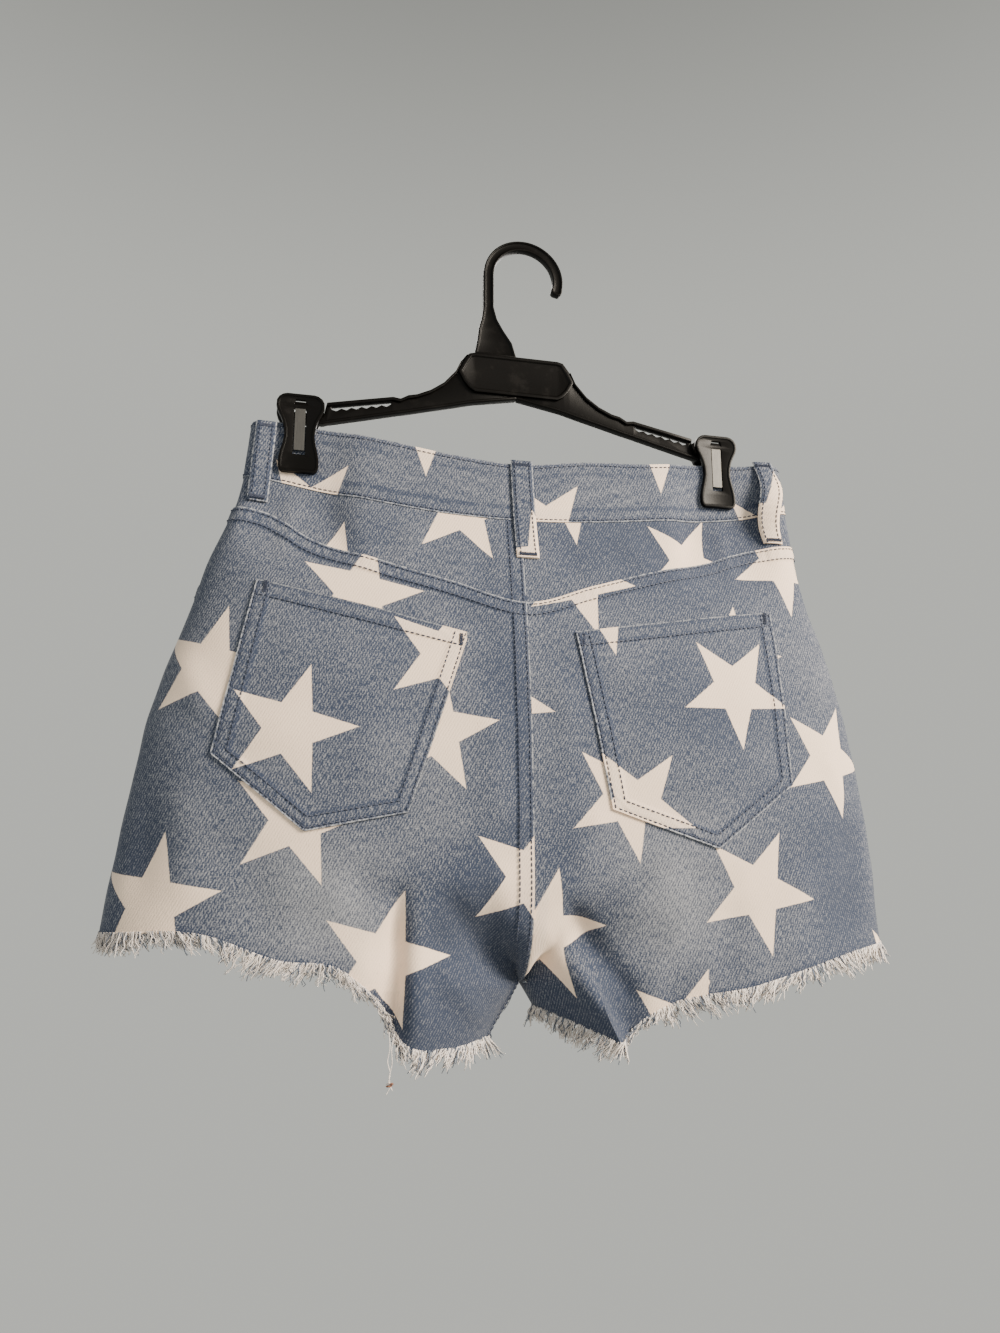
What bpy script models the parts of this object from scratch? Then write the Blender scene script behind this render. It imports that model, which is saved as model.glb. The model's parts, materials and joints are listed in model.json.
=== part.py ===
"""Denim shorts hung by the waistband from a plastic clip hanger.

Metres, +Z up. The seat (the back of the shorts) faces -Y, so the wearer's left is at -X.
The origin is the underside of the hook's crown, where the hook rests on what holds it.

The cloth follows one surface: closed rings round the hips, which divide into two leg rings
below the crotch. A place on it is (side, face, along, z): side -1 left or +1 right, face -1
seat or +1 front, along 0 at the centre seam or inseam and 1 at the outseam. Every panel is a
wall between two of its seams, drawn on that surface and given its thickness inwards.
"""

import math

import bmesh
import bpy
import numpy as np

MM = 0.001

# Driving sizes
CLOTH = 1.5 * MM  # denim, with its seam allowances
BAND = 2.6 * MM  # the waistband is doubled
GAP = 0.3 * MM  # between neighbouring pieces
CENTRE_X = -5.5 * MM  # the centre-back seam and the hanger's middle
CROTCH_Z = -494 * MM
SEAT_TURN = 70 * MM  # height over which the seat turns under to the crotch
LEG_SPREAD = 0.62  # how fast the inseams part below the crotch
LEG_ROUND = 20 * MM
CROWN = 0.18  # how much shallower a ring is at its ends than in its middle
FRINGE = 11 * MM
CLIP_OUT = 143.5 * MM  # from the hanger's middle to each clip
GRIPPED = 3.2 * MM  # half the depth of the two waistbands between the jaws
GRIP_REACH = 31 * MM

LEFT, RIGHT, SEAT, FRONT = -1, 1, -1, 1
FINE = 241  # points in the polyline that measures one ring quarter

# Rings round the hips: outline at each side, depth of seat and front, radius at the sides
RINGS = ("z", "left", "right", "seat", "front", "round")
RINGS_MM = [
    (-145, -178, 187, 8.5, 8.5, 6),
    (-205, -186, 194, 13, 11, 8),
    (-240, -199, 199, 21, 16, 12),
    (-285, -212, 213, 31, 22, 16),
    (-335, -227, 225, 38, 26, 20),
    (-395, -237, 233, 42, 30, 22),
    (-460, -246, 238, 42, 32, 24),
    (-545, -254, 245, 40, 32, 24),
]
# Level seams: top edge of the waistband, its lower seam, and the seat yoke's seam
LEVELS = ("x", "top", "waist", "yoke")
LEVELS_MM = [
    (-190, -150, -186, -207),
    (-165, -148, -188, -211),
    (-140, -150, -192, -227),
    (-100, -155, -199, -240),
    (-50, -162, -204.5, -253),
    (-5, -165, -205.5, -264),
    (40, -159, -203, -250),
    (85, -156, -198, -236),
    (125, -151, -193, -225),
    (155, -149, -189, -214),
    (190, -147, -182, -207),
]
# Frayed edge of each leg, inner side first
HEMS_MM = {
    (LEFT, SEAT): [(-22, -524), (-55, -527), (-80, -521), (-97, -497), (-112, -484), (-148, -477),
                   (-190, -463), (-248, -463)],
    (LEFT, FRONT): [(-22, -524), (-70, -505), (-130, -480), (-200, -464), (-248, -463)],
    (RIGHT, SEAT): [(4, -509), (34, -521), (46, -526), (62, -514), (132, -497), (221, -477),
                    (243, -475)],
    (RIGHT, FRONT): [(4, -509), (60, -503), (120, -488), (190, -478), (243, -475)],
}
# Largest folds: a crest from (x, z) above to (x, z) below, its height outwards (negative for a
# trough), and how far it dies away to each side
FOLDS = ("x_above", "z_above", "x_below", "z_below", "height", "reach_left", "reach_right")
FOLDS_MM = {
    (LEFT, SEAT): [(-84, -425, -92, -525, -8, 16, 9), (-70, -440, -74, -525, 5, 8, 26)],
    (RIGHT, SEAT): [(0, -440, 46, -526, 14, 38, 5), (70, -450, 84, -520, -4, 14, 30)],
    (LEFT, FRONT): [(-90, -420, -104, -500, -6, 18, 14)],
    (RIGHT, FRONT): [(60, -420, 84, -500, 7, 26, 12)],
}
# Patch pockets: corners round the outline from the top corner at the left
POCKETS_MM = {
    "back_pocket_left": (LEFT, [(-170, -258), (-43, -287), (-79, -396), (-137, -407), (-190, -364)]),
    "back_pocket_right": (RIGHT, [(25, -283), (164, -260), (165, -376), (111, -416), (43, -393)]),
}
# Belt loops: top and bottom of the middle line, and how far the middle stands off the band
LOOPS = ("face", "x_top", "z_top", "x_bottom", "z_bottom", "width", "stand_off")
LOOPS_MM = {
    "belt_loop_back": (SEAT, -4.5, -163, -2.5, -233, 15, 0.4),
    "belt_loop_back_left": (SEAT, -169.5, -149, -173, -203, 12.5, 0.6),
    "belt_loop_back_right": (SEAT, 172, -146, 176, -207, 13.5, 6.5),
    "belt_loop_front_left": (FRONT, -94, -154, -96, -208, 14, 0.6),
    "belt_loop_front_right": (FRONT, 84, -154, 86, -206, 14, 0.6),
}
LOOP_WALL = 1.6 * MM
SCOOP_FROM, SCOOP_DEPTH = 0.52, 72 * MM  # front pocket mouth: where it leaves the band, its drop
POCKET_UNDERLAP = 9 * MM
FLY_MM = (-16, 22, -207.5, -315)  # the fly shield: x from and to, z from and to
BUTTON_X, BUTTON_Z = CENTRE_X - 13 * MM, -185 * MM
SEAM_TOLERANCE = 1e-9


def columns(names, rows):
    """{name: values in metres} of a table in millimetres."""
    return dict(zip(names, np.array(rows, float).T * MM))


def curve(x, xs, ys):
    """A smooth curve through (xs, ys), level past its ends."""
    slope = np.gradient(ys, xs)
    x = np.clip(x, xs[0], xs[-1])
    i = np.clip(np.searchsorted(xs, x) - 1, 0, len(xs) - 2)
    step = xs[i + 1] - xs[i]
    t = (x - xs[i]) / step
    rise = (2 * t**3 - 3 * t**2 + 1) * ys[i] + (3 * t**2 - 2 * t**3) * ys[i + 1]
    return rise + step * ((t**3 - 2 * t**2 + t) * slope[i] + (t**3 - t**2) * slope[i + 1])


def smooth(t):
    t = np.clip(t, 0, 1)
    return t * t * (3 - 2 * t)


RING = columns(RINGS, RINGS_MM[::-1])  # rising z, as curve wants it
LEVEL = columns(LEVELS, LEVELS_MM)


def ring(name, z):
    return curve(z, RING["z"], RING[name])


def level(name, x):
    return curve(x, LEVEL["x"], LEVEL[name])


def folds_at(side, face, x, z, along):
    """How far the folds push the cloth outwards; nothing at the upright seams."""
    out = np.zeros_like(x)
    for row in FOLDS_MM.get((side, face), []):
        f = dict(zip(FOLDS, np.array(row) * MM))
        drop = np.clip((f["z_above"] - z) / (f["z_above"] - f["z_below"]), 0, 1.1)
        off = x - (f["x_above"] + (f["x_below"] - f["x_above"]) * drop)
        reach = np.where(off < 0, f["reach_left"], f["reach_right"])
        out += f["height"] * smooth(drop) * np.exp(-np.sqrt((off / reach) ** 2 + 0.04) + 0.2)
    return out * smooth(along / 0.14) * smooth((1 - along) / 0.14)


def grip_at(x, z):
    """1 where a clip holds both waistbands flat, 0 well away from it."""
    held = sum(np.exp(-(((x - CENTRE_X - s * CLIP_OUT) / GRIP_REACH) ** 4)) for s in (LEFT, RIGHT))
    return held * smooth((z + 0.260) / 0.070)


def quarter(side, face, z):
    """Fine polylines (x, y, length) of one quarter ring at each z, from the inner seam out."""
    z = np.asarray(z, float)[:, None]
    t = np.linspace(0, 1, FINE)[None, :]
    inner = CENTRE_X + side * (GAP / 2 + LEG_SPREAD * np.clip(CROTCH_Z - z, 0, None))
    outer = ring("left" if side == LEFT else "right", z)
    depth, rounding = ring("seat" if face == SEAT else "front", z), ring("round", z)
    half = np.abs(outer - inner)
    # Above the seat's turn: half of one ring round both hips
    near = np.sin(t * math.pi / 2)
    power = np.maximum(2, 2 * rounding * half / depth**2)
    hip = near, (1 - CROWN * near**2) * np.sqrt(np.clip(1 - near**power, 0, 1))
    # Below the crotch: half of a ring round one leg
    over = -np.cos(t * math.pi)
    power = np.maximum(2, LEG_ROUND * half / depth**2)
    leg = (1 + over) / 2, (1 - CROWN * over**2) * np.sqrt(np.clip(1 - np.abs(over) ** power, 0, 1))
    turn = np.clip((CROTCH_Z + SEAT_TURN - z) / SEAT_TURN, 0, 1)
    share = 1 - np.sqrt(np.clip(1 - turn**3, 0, 1))
    across = (1 - share) * hip[0] + share * leg[0]
    deep = depth * ((1 - share) * hip[1] + share * leg[1])
    x = inner + (outer - inner) * across
    held = grip_at(x, z)
    deep = deep * (1 - held) + np.minimum(deep, GRIPPED) * held
    deep = deep + folds_at(side, face, x, z, across) * np.minimum(1, deep / 0.01)
    y = face * deep
    steps = np.hypot(np.diff(x, axis=1), np.diff(y, axis=1))
    length = np.concatenate([np.zeros_like(z), np.cumsum(steps, axis=1)], axis=1)
    return x, y, length


def place(side, face, along, z, inset=GAP / 2):
    """Points at these fractions of a quarter ring's length, kept clear of its two seams."""
    along, z = np.broadcast_arrays(np.asarray(along, float), np.asarray(z, float))
    flat, fraction = z.ravel(), along.ravel()
    xs, ys, length = quarter(side, face, flat)
    goal = inset + fraction * (length[:, -1] - 2 * inset)
    found = [
        (np.interp(g, s, x), np.interp(g, s, y)) for g, s, x, y in zip(goal, length, xs, ys)
    ]
    points = np.column_stack([np.array(found), flat])
    return points.reshape(*z.shape, 3)


def at_x(face, x, z):
    """Points of the seat or the front at these x, on whichever side they fall."""
    x, z = np.broadcast_arrays(np.asarray(x, float), np.asarray(z, float))
    found = []
    for one_x, one_z in zip(x.ravel(), z.ravel()):
        side = LEFT if one_x < CENTRE_X else RIGHT
        xs, ys, _ = quarter(side, face, [one_z])
        order = slice(None) if side == RIGHT else slice(None, None, -1)
        found.append((one_x, np.interp(one_x, xs[0][order], ys[0][order]), one_z))
    return np.array(found).reshape(*x.shape, 3)


def outwards(du, dv, face):
    """Unit normals from two tangents, on the side of the seat (-Y) or the front (+Y)."""
    normal = np.cross(du, dv)
    normal /= np.maximum(np.linalg.norm(normal, axis=-1, keepdims=True), 1e-12)
    flip = np.sign(normal[..., 1:2].mean() * face)
    return normal * (flip if flip else 1)


def normals(side, face, along, z):
    d_along, dz = 0.008, 2 * MM
    du = place(side, face, np.clip(along + d_along, 0, 1), z) - place(
        side, face, np.clip(along - d_along, 0, 1), z)
    dv = place(side, face, along, z + dz) - place(side, face, along, z - dz)
    out = outwards(du, dv, face)
    # A seam's edge stays in the plane between its two panels
    along, z = np.broadcast_arrays(along, z)
    inner, outer = along <= 0, along >= 1
    out[..., 1] = np.where(outer | (inner & (z <= CROTCH_Z)), 0, out[..., 1])
    away = np.minimum(out[..., 0] * side, 0) * side
    away = np.where(z >= CROTCH_Z + SEAT_TURN, 0, away)
    out[..., 0] = np.where(inner, away, out[..., 0])
    return out / np.linalg.norm(out, axis=-1, keepdims=True)


def normals_at_x(face, x, z):
    step = 2 * MM
    du = at_x(face, x + step, z) - at_x(face, x - step, z)
    dv = at_x(face, x, z + step) - at_x(face, x, z - step)
    return outwards(du, dv, face)


def rows_between(side, face, along, top, bottom, shares):
    """z of a grid whose rows run from one level line to another; both depend on x."""
    along = np.asarray(along, float)
    z = np.zeros((len(shares), len(along)))
    for line, end in ((top, 0), (bottom, 1)):
        edge = np.full(len(along), LEVEL["waist"].mean() if end == 0 else CROTCH_Z)
        for _ in range(6):
            edge = line(place(side, face, along, edge)[:, 0], along)
        z += (edge + (GAP / 2) * (1 if end else -1)) * np.abs(1 - end - np.array(shares))[:, None]
    return z


def hem(side, face):
    xs, zs = columns(("x", "z"), sorted(HEMS_MM[side, face])).values()
    return lambda x, along: curve(x, xs, zs)


def line(name):
    return lambda x, along: level(name, x)


def scoop(x, along):
    """Top edge of a front panel: the waist seam, then the curved pocket mouth to the outseam."""
    round_part = np.clip((1 - along) / (1 - SCOOP_FROM), 0, 1)
    return level("waist", x) - SCOOP_DEPTH * np.sqrt(np.clip(1 - round_part**2, 0, 1)) ** 1.1


def under_scoop(x, along):
    return scoop(x, along) - POCKET_UNDERLAP


# ---- Blender objects ----

COLOURS = {
    # slot: colour, roughness, metallic
    "denim": ((0.150, 0.215, 0.310), 0.85, 0.0),
    "fringe_thread": ((0.52, 0.52, 0.52), 0.9, 0.0),
    "hanger_plastic": ((0.012, 0.012, 0.013), 0.35, 0.0),
    "spring_steel": ((0.62, 0.62, 0.60), 0.22, 1.0),
    "button_metal": ((0.42, 0.36, 0.28), 0.35, 1.0),
}


def finish(name, mesh, slot, cutter=False):
    """A named object for this mesh, with a material of its own."""
    made = bpy.data.objects.new(name, mesh)
    bpy.context.scene.collection.objects.link(made)
    if cutter:
        made.hide_render, made.display_type = True, "WIRE"
        return made
    colour, roughness, metallic = COLOURS[slot]
    material = bpy.data.materials.new(name)
    material.use_nodes = True
    shader = material.node_tree.nodes["Principled BSDF"]
    shader.inputs["Base Color"].default_value = (*colour, 1)
    shader.inputs["Roughness"].default_value = roughness
    shader.inputs["Metallic"].default_value = metallic
    mesh.materials.append(material)
    return made


def mesh_of(vertices, faces):
    mesh = bpy.data.meshes.new("mesh")
    mesh.from_pydata([tuple(v) for v in vertices], [], faces)
    bm = bmesh.new()
    bm.from_mesh(mesh)
    bmesh.ops.recalc_face_normals(bm, faces=bm.faces)
    if bm.calc_volume(signed=True) < 0:
        bmesh.ops.reverse_faces(bm, faces=bm.faces)
    bm.to_mesh(mesh)
    bm.free()
    return mesh


def wall(name, outer, inner, slot="denim", closed=False):
    """A wall between two grids of points, [row, column]. A closed one joins its two ends."""
    rows, cols = outer.shape[:2]
    vertices = np.concatenate([outer.reshape(-1, 3), inner.reshape(-1, 3)])
    back = rows * cols
    last = cols if closed else cols - 1
    faces = []
    for r in range(rows - 1):
        for c in range(last):
            a, b = r * cols + c, r * cols + (c + 1) % cols
            faces.append((a, b, b + cols, a + cols))
            faces.append((back + a + cols, back + b + cols, back + b, back + a))
    for c in range(last):
        a, b = c, (c + 1) % cols
        faces.append((b, a, back + a, back + b))
        a, b = (rows - 1) * cols + a, (rows - 1) * cols + b
        faces.append((a, b, back + b, back + a))
    if not closed:
        for r in range(rows - 1):
            a, b = r * cols, (r + 1) * cols
            faces.append((a, b, back + b, back + a))
            a, b = a + cols - 1, b + cols - 1
            faces.append((b, a, back + a, back + b))
    return finish(name, mesh_of(vertices, faces), slot)


def panel(name, side, face, along, z, thickness=CLOTH, under=0.0):
    """A cloth panel on the surface, or under it by a distance."""
    points, out = place(side, face, along, z), normals(side, face, along, z)
    wall(name, points - out * under, points - out * (under + thickness))


def prism(name, outline, near, far, slot, cutter=False):
    """An outline in (x, z) made solid from y = near to y = far."""
    count = len(outline)
    vertices = [(x, near, z) for x, z in outline] + [(x, far, z) for x, z in outline]
    faces = [tuple(range(count)), tuple(range(2 * count - 1, count - 1, -1))]
    faces += [(i, (i + 1) % count, count + (i + 1) % count, count + i) for i in range(count)]
    return finish(name, mesh_of(vertices, faces), slot, cutter)


def boolean(target, other, operation):
    step = target.modifiers.new(other.name, "BOOLEAN")
    step.object, step.operation, step.solver = other, operation, "EXACT"


# ---- The garment ----

SEAT_ALONG = np.linspace(0, 1, 13)
FRONT_ALONG = np.concatenate(
    [np.linspace(0, SCOOP_FROM, 6), SCOOP_FROM + (1 - SCOOP_FROM) * np.array(
        [0.03, 0.09, 0.18, 0.32, 0.52, 0.76, 1.0])])
YOKE_SHARES = np.linspace(0, 1, 4)


def leg_shares(side, top_z):
    """Rows of a leg panel: closer where the seat turns under, with one row at the crotch."""
    inner_hem = HEMS_MM[side, SEAT][0][1] * MM
    crotch = (top_z - CROTCH_Z) / (top_z - inner_hem)
    turn = (top_z - CROTCH_Z - SEAT_TURN) / (top_z - inner_hem)
    bend = turn + (crotch - turn) * np.array([0.45, 0.75, 0.92, 1.0])
    return np.concatenate([np.linspace(0, turn, 8), bend, [(1 + crotch) / 2, 1.0]])


def make_panels():
    for side, hand in ((LEFT, "left"), (RIGHT, "right")):
        z = rows_between(side, SEAT, SEAT_ALONG, line("waist"), line("yoke"), YOKE_SHARES)
        panel(f"yoke_{hand}", side, SEAT, SEAT_ALONG, z)
        shares = leg_shares(side, LEVEL["yoke"].min())
        z = rows_between(side, SEAT, SEAT_ALONG, line("yoke"), hem(side, SEAT), shares)
        panel(f"back_{hand}", side, SEAT, SEAT_ALONG, z)
        shares = leg_shares(side, LEVEL["waist"].min())
        z = rows_between(side, FRONT, FRONT_ALONG, scoop, hem(side, FRONT), shares)
        panel(f"front_{hand}", side, FRONT, FRONT_ALONG, z)
        mouth = FRONT_ALONG[FRONT_ALONG >= SCOOP_FROM - SEAM_TOLERANCE]
        z = rows_between(side, FRONT, mouth, line("waist"), under_scoop, np.linspace(0, 1, 5))
        panel(f"pocket_facing_{hand}", side, FRONT, mouth, z, under=CLOTH + 3 * GAP)


def make_waistband():
    """One strip right round, whose under end runs on behind the other at the front."""
    overlap = np.linspace(0.02, 0.17, 4)
    runs = [
        (LEFT, FRONT, FRONT_ALONG),
        (LEFT, SEAT, SEAT_ALONG[::-1]),
        (RIGHT, SEAT, SEAT_ALONG),
        (RIGHT, FRONT, FRONT_ALONG[::-1]),
        (LEFT, FRONT, overlap),
    ]
    outer, inner = [], []
    for number, (side, face, along) in enumerate(runs):
        z = rows_between(side, face, along, line("top"), line("waist"), np.linspace(0, 1, 3))
        points, out = place(side, face, along, z, inset=0), normals(side, face, along, z)
        sunk = np.zeros(len(along))
        if number == 3:
            sunk = (BAND + GAP) * smooth((0.20 - along) / 0.16)
        if number == 4:
            sunk[:] = BAND + GAP
        outer.append(points - out * sunk[None, :, None])
        inner.append(points - out * (sunk + BAND)[None, :, None])
    keep = [slice(None), slice(1, None), slice(1, None), slice(1, None), slice(None)]
    outer = np.concatenate([g[:, k] for g, k in zip(outer, keep)], axis=1)
    inner = np.concatenate([g[:, k] for g, k in zip(inner, keep)], axis=1)
    wall("waistband", outer, inner)


def make_fly():
    """The shield behind the closed fly, from the waist seam down to the end of the zip."""
    x_from, x_to, top, bottom = np.array(FLY_MM) * MM
    x, z = np.meshgrid(CENTRE_X + np.linspace(x_from, x_to, 5), np.linspace(top, bottom, 6))
    points, out = at_x(FRONT, x, z), normals_at_x(FRONT, x, z)
    under = CLOTH + 2 * GAP
    wall("fly_shield", points - out * under, points - out * (under + CLOTH))


def make_pockets():
    for name, (side, corners) in POCKETS_MM.items():
        top_left, top_right, low_right, tip, low_left = np.array(corners) * MM
        across, down = np.meshgrid(np.linspace(0, 1, 9), np.linspace(0, 1, 8))
        across, down = across[..., None], down[..., None]
        top = top_left + (top_right - top_left) * across
        bottom = np.where(
            across < 0.5,
            low_left + (tip - low_left) * across * 2,
            tip + (low_right - tip) * (across * 2 - 1),
        )
        xz = top + (bottom - top) * down
        x, z = xz[..., 0], xz[..., 1]
        points, out = at_x(SEAT, x, z), normals_at_x(SEAT, x, z)
        wall(name, points + out * (GAP + CLOTH), points + out * GAP)


def make_loops():
    for name, row in LOOPS_MM.items():
        size = dict(zip(LOOPS, row))
        down = np.linspace(0, 1, 8)
        x = (size["x_top"] + (size["x_bottom"] - size["x_top"]) * down) * MM
        z = (size["z_top"] + (size["z_bottom"] - size["z_top"]) * down) * MM
        sides = np.linspace(-0.5, 0.5, 4) * size["width"] * MM
        x, z = x[:, None] + sides[None, :], np.repeat(z[:, None], 4, axis=1)
        points, out = at_x(size["face"], x, z), normals_at_x(size["face"], x, z)
        off = size["stand_off"] * MM * np.sin(down * math.pi) ** 2 + GAP * 2
        off = off[:, None, None]
        wall(name, points + out * (off + LOOP_WALL), points + out * off)


def make_fringes():
    """The frayed threads' reach, one ring below each hem."""
    for side, hand in ((LEFT, "left"), (RIGHT, "right")):
        outer, inner = [], []
        for face, along in ((SEAT, SEAT_ALONG), (FRONT, FRONT_ALONG[::-1])):
            edge = rows_between(side, face, along, line("waist"), hem(side, face), [1.0])[0]
            z = np.array([edge - 3 * GAP, edge - FRINGE])
            points, out = place(side, face, along, z, inset=0), normals(side, face, along, z)
            outer.append(points)
            inner.append(points - out * CLOTH)
        outer = np.concatenate([outer[0][:, :-1], outer[1][:, :-1]], axis=1)
        inner = np.concatenate([inner[0][:, :-1], inner[1][:, :-1]], axis=1)
        wall(f"fringe_{hand}", outer, inner, slot="fringe_thread", closed=True)


def make_button():
    """A shank button near the top end of the band, turned as one solid."""
    y = at_x(FRONT, np.array([BUTTON_X]), np.array([BUTTON_Z]))[0][1] + 0.5 * MM
    # (radius, distance out) in mm
    profile = [(3.0, 0.0), (3.0, 1.4), (8.0, 1.4), (8.6, 2.0), (8.6, 2.6), (7.6, 3.3), (4.0, 3.6)]
    turns, vertices, faces = 24, [], []
    for r, out in profile:
        for k in range(turns):
            a = 2 * math.pi * k / turns
            vertices.append((BUTTON_X + r * MM * math.cos(a), y + out * MM,
                             BUTTON_Z + r * MM * math.sin(a)))
    rings = len(profile)
    for i in range(rings - 1):
        for k in range(turns):
            a, b = i * turns + k, i * turns + (k + 1) % turns
            faces.append((a, b, b + turns, a + turns))
    faces += [tuple(range(turns)), tuple(range((rings - 1) * turns, rings * turns))]
    finish("button", mesh_of(vertices, faces), "button_metal")


# ---- The hanger ----

PLATE_TOP = -82.5
BAR_MM = [(0, PLATE_TOP), (35, PLATE_TOP), (41.5, -97.5), (70, -118.5), (77, -120.5), (128, -131),
          (129.5, -140.4), (150, -140.8), (150, -146.3), (133, -147), (10, -115), (0, -114.5)]
BOSS_MM = [(0, -84.5), (33.5, -84.5), (39, -97.5), (28, -110), (0, -111)]
SLOT_MM = [(84, -125.5), (124, -133.5), (124, -137), (84, -129)]
UPPER_RIB_MM = [(41.5, -97.5), (70, -118.5), (128, -131), (128, -133), (69.5, -120.5), (40, -99.5)]
LOWER_RIB_MM = [(10, -115), (128, -145.7), (128, -143.4), (11, -112.9)]
WEB_HALF, BOSS_HALF, RIB_HALF = 1.5, 3.6, 3.1
HOOK_INNER, HOOK_OUTER, HOOK_HALF, HOOK_END = 21.5, 28.5, 2.6, -12
JAW_MM = [(0, -129), (9, -129.5), (13.5, -131.5), (15.3, -136), (14.6, -141), (11.5, -147),
          (9.6, -153), (9.4, -158), (10.6, -164), (12.4, -170), (12.8, -177), (12, -180.5),
          (9.5, -182), (0, -182)]
WINDOW_MM = [(0, -138), (3.9, -138), (3.9, -170), (0, -170)]
JAW_NEAR, JAW_FAR = 4.0, 7.0  # a jaw lies between these distances from the middle plane
SPRING_HALF, SPRING_WALL = 3.3, 0.8


def mirrored(half):
    """A whole outline from its right half, as metres round the hanger's middle."""
    whole = half + [(-x, z) for x, z in half[::-1] if x > 0]
    return [(x * MM, z * MM) for x, z in whole]


def shifted(outline, dx):
    return [(x + dx, z) for x, z in outline]


def make_bar():
    bar = prism("hanger_bar", shifted(mirrored(BAR_MM), CENTRE_X), -WEB_HALF * MM, WEB_HALF * MM,
                "hanger_plastic")
    boss = prism("boss", shifted(mirrored(BOSS_MM), CENTRE_X), -BOSS_HALF * MM, BOSS_HALF * MM,
                 "hanger_plastic", cutter=True)
    boolean(bar, boss, "UNION")
    for side in (LEFT, RIGHT):
        for rib in (UPPER_RIB_MM, LOWER_RIB_MM):
            outline = [(CENTRE_X + side * x * MM, z * MM) for x, z in rib]
            piece = prism("rib", outline, -RIB_HALF * MM, RIB_HALF * MM, "hanger_plastic",
                          cutter=True)
            boolean(bar, piece, "UNION")
        outline = [(CENTRE_X + side * x * MM, z * MM) for x, z in SLOT_MM]
        slot = prism("slot", outline, -0.01, 0.01, "hanger_plastic", cutter=True)
        boolean(bar, slot, "DIFFERENCE")


def make_hook():
    """A flat moulded hook: a gusset on the plate, a stem, and an arc with a rounded tip."""
    middle = -HOOK_INNER
    turn = np.radians(np.linspace(180, HOOK_END, 22))
    arc = [(math.cos(a), math.sin(a)) for a in turn]
    outline = [(-34, PLATE_TOP + 0.3), (-31.5, -62), (-HOOK_OUTER, -47)]
    outline += [(HOOK_OUTER * c, middle + HOOK_OUTER * s) for c, s in arc]
    end = math.radians(HOOK_END)
    half = (HOOK_OUTER - HOOK_INNER) / 2
    for a in np.radians([-40, -90, -140]):
        reach = half + HOOK_INNER
        outline.append((reach * math.cos(end) + half * math.cos(a + end),
                        middle + reach * math.sin(end) + half * math.sin(a + end)))
    outline += [(HOOK_INNER * c, middle + HOOK_INNER * s) for c, s in arc[::-1]]
    outline += [(-HOOK_INNER, -47), (-15.5, -62), (-6, PLATE_TOP + 0.3)]
    outline = [(x * MM, z * MM) for x, z in outline]
    prism("hanger_hook", outline, -HOOK_HALF * MM, HOOK_HALF * MM, "hanger_plastic")


def make_clips():
    for side, hand in ((LEFT, "left"), (RIGHT, "right")):
        x = CENTRE_X + side * CLIP_OUT
        for face, part in ((SEAT, "seat"), (FRONT, "front")):
            near, far = sorted((face * JAW_NEAR * MM, face * JAW_FAR * MM))
            name = f"clip_{hand}_{part}_jaw"
            jaw = prism(name, shifted(mirrored(JAW_MM), x), near, far, "hanger_plastic")
            window = prism(f"window_{hand}_{part}", shifted(mirrored(WINDOW_MM), x), near - MM,
                           far + MM, "hanger_plastic", cutter=True)
            boolean(jaw, window, "DIFFERENCE")
        # A strip of steel bent over like a staple, with a leg in each jaw's window
        outer, inner = JAW_FAR - 0.6, JAW_FAR - 0.6 - SPRING_WALL
        top, bottom = -138.4, -167
        section = [(-outer, bottom), (-outer, top), (outer, top), (outer, bottom),
                   (inner, bottom), (inner, top - SPRING_WALL), (-inner, top - SPRING_WALL),
                   (-inner, bottom)]
        count = len(section)
        vertices = [(x + e * SPRING_HALF * MM, y * MM, z * MM) for e in (-1, 1) for y, z in section]
        faces = [tuple(range(count)), tuple(range(2 * count - 1, count - 1, -1))]
        faces += [(i, (i + 1) % count, count + (i + 1) % count, count + i) for i in range(count)]
        finish(f"clip_{hand}_spring", mesh_of(vertices, faces), "spring_steel")


def main():
    for old in list(bpy.data.objects):
        bpy.data.objects.remove(old, do_unlink=True)
    make_panels()
    make_waistband()
    make_fly()
    make_pockets()
    make_loops()
    make_fringes()
    make_button()
    make_bar()
    make_hook()
    make_clips()


main()
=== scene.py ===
# %% [markdown]
# # Denim shorts on a clip hanger
#
# This lesson dresses a finished frame. The solids of the shorts and of the hanger are already
# made and can't move; here they get the looks: cloth with a twill, a print, seams and stitches,
# frayed hems, and a moulded plastic hanger. The first cell loads the frame. What is made here
# has to stay the same size.

# %% Load the frame
import json
import math

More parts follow.
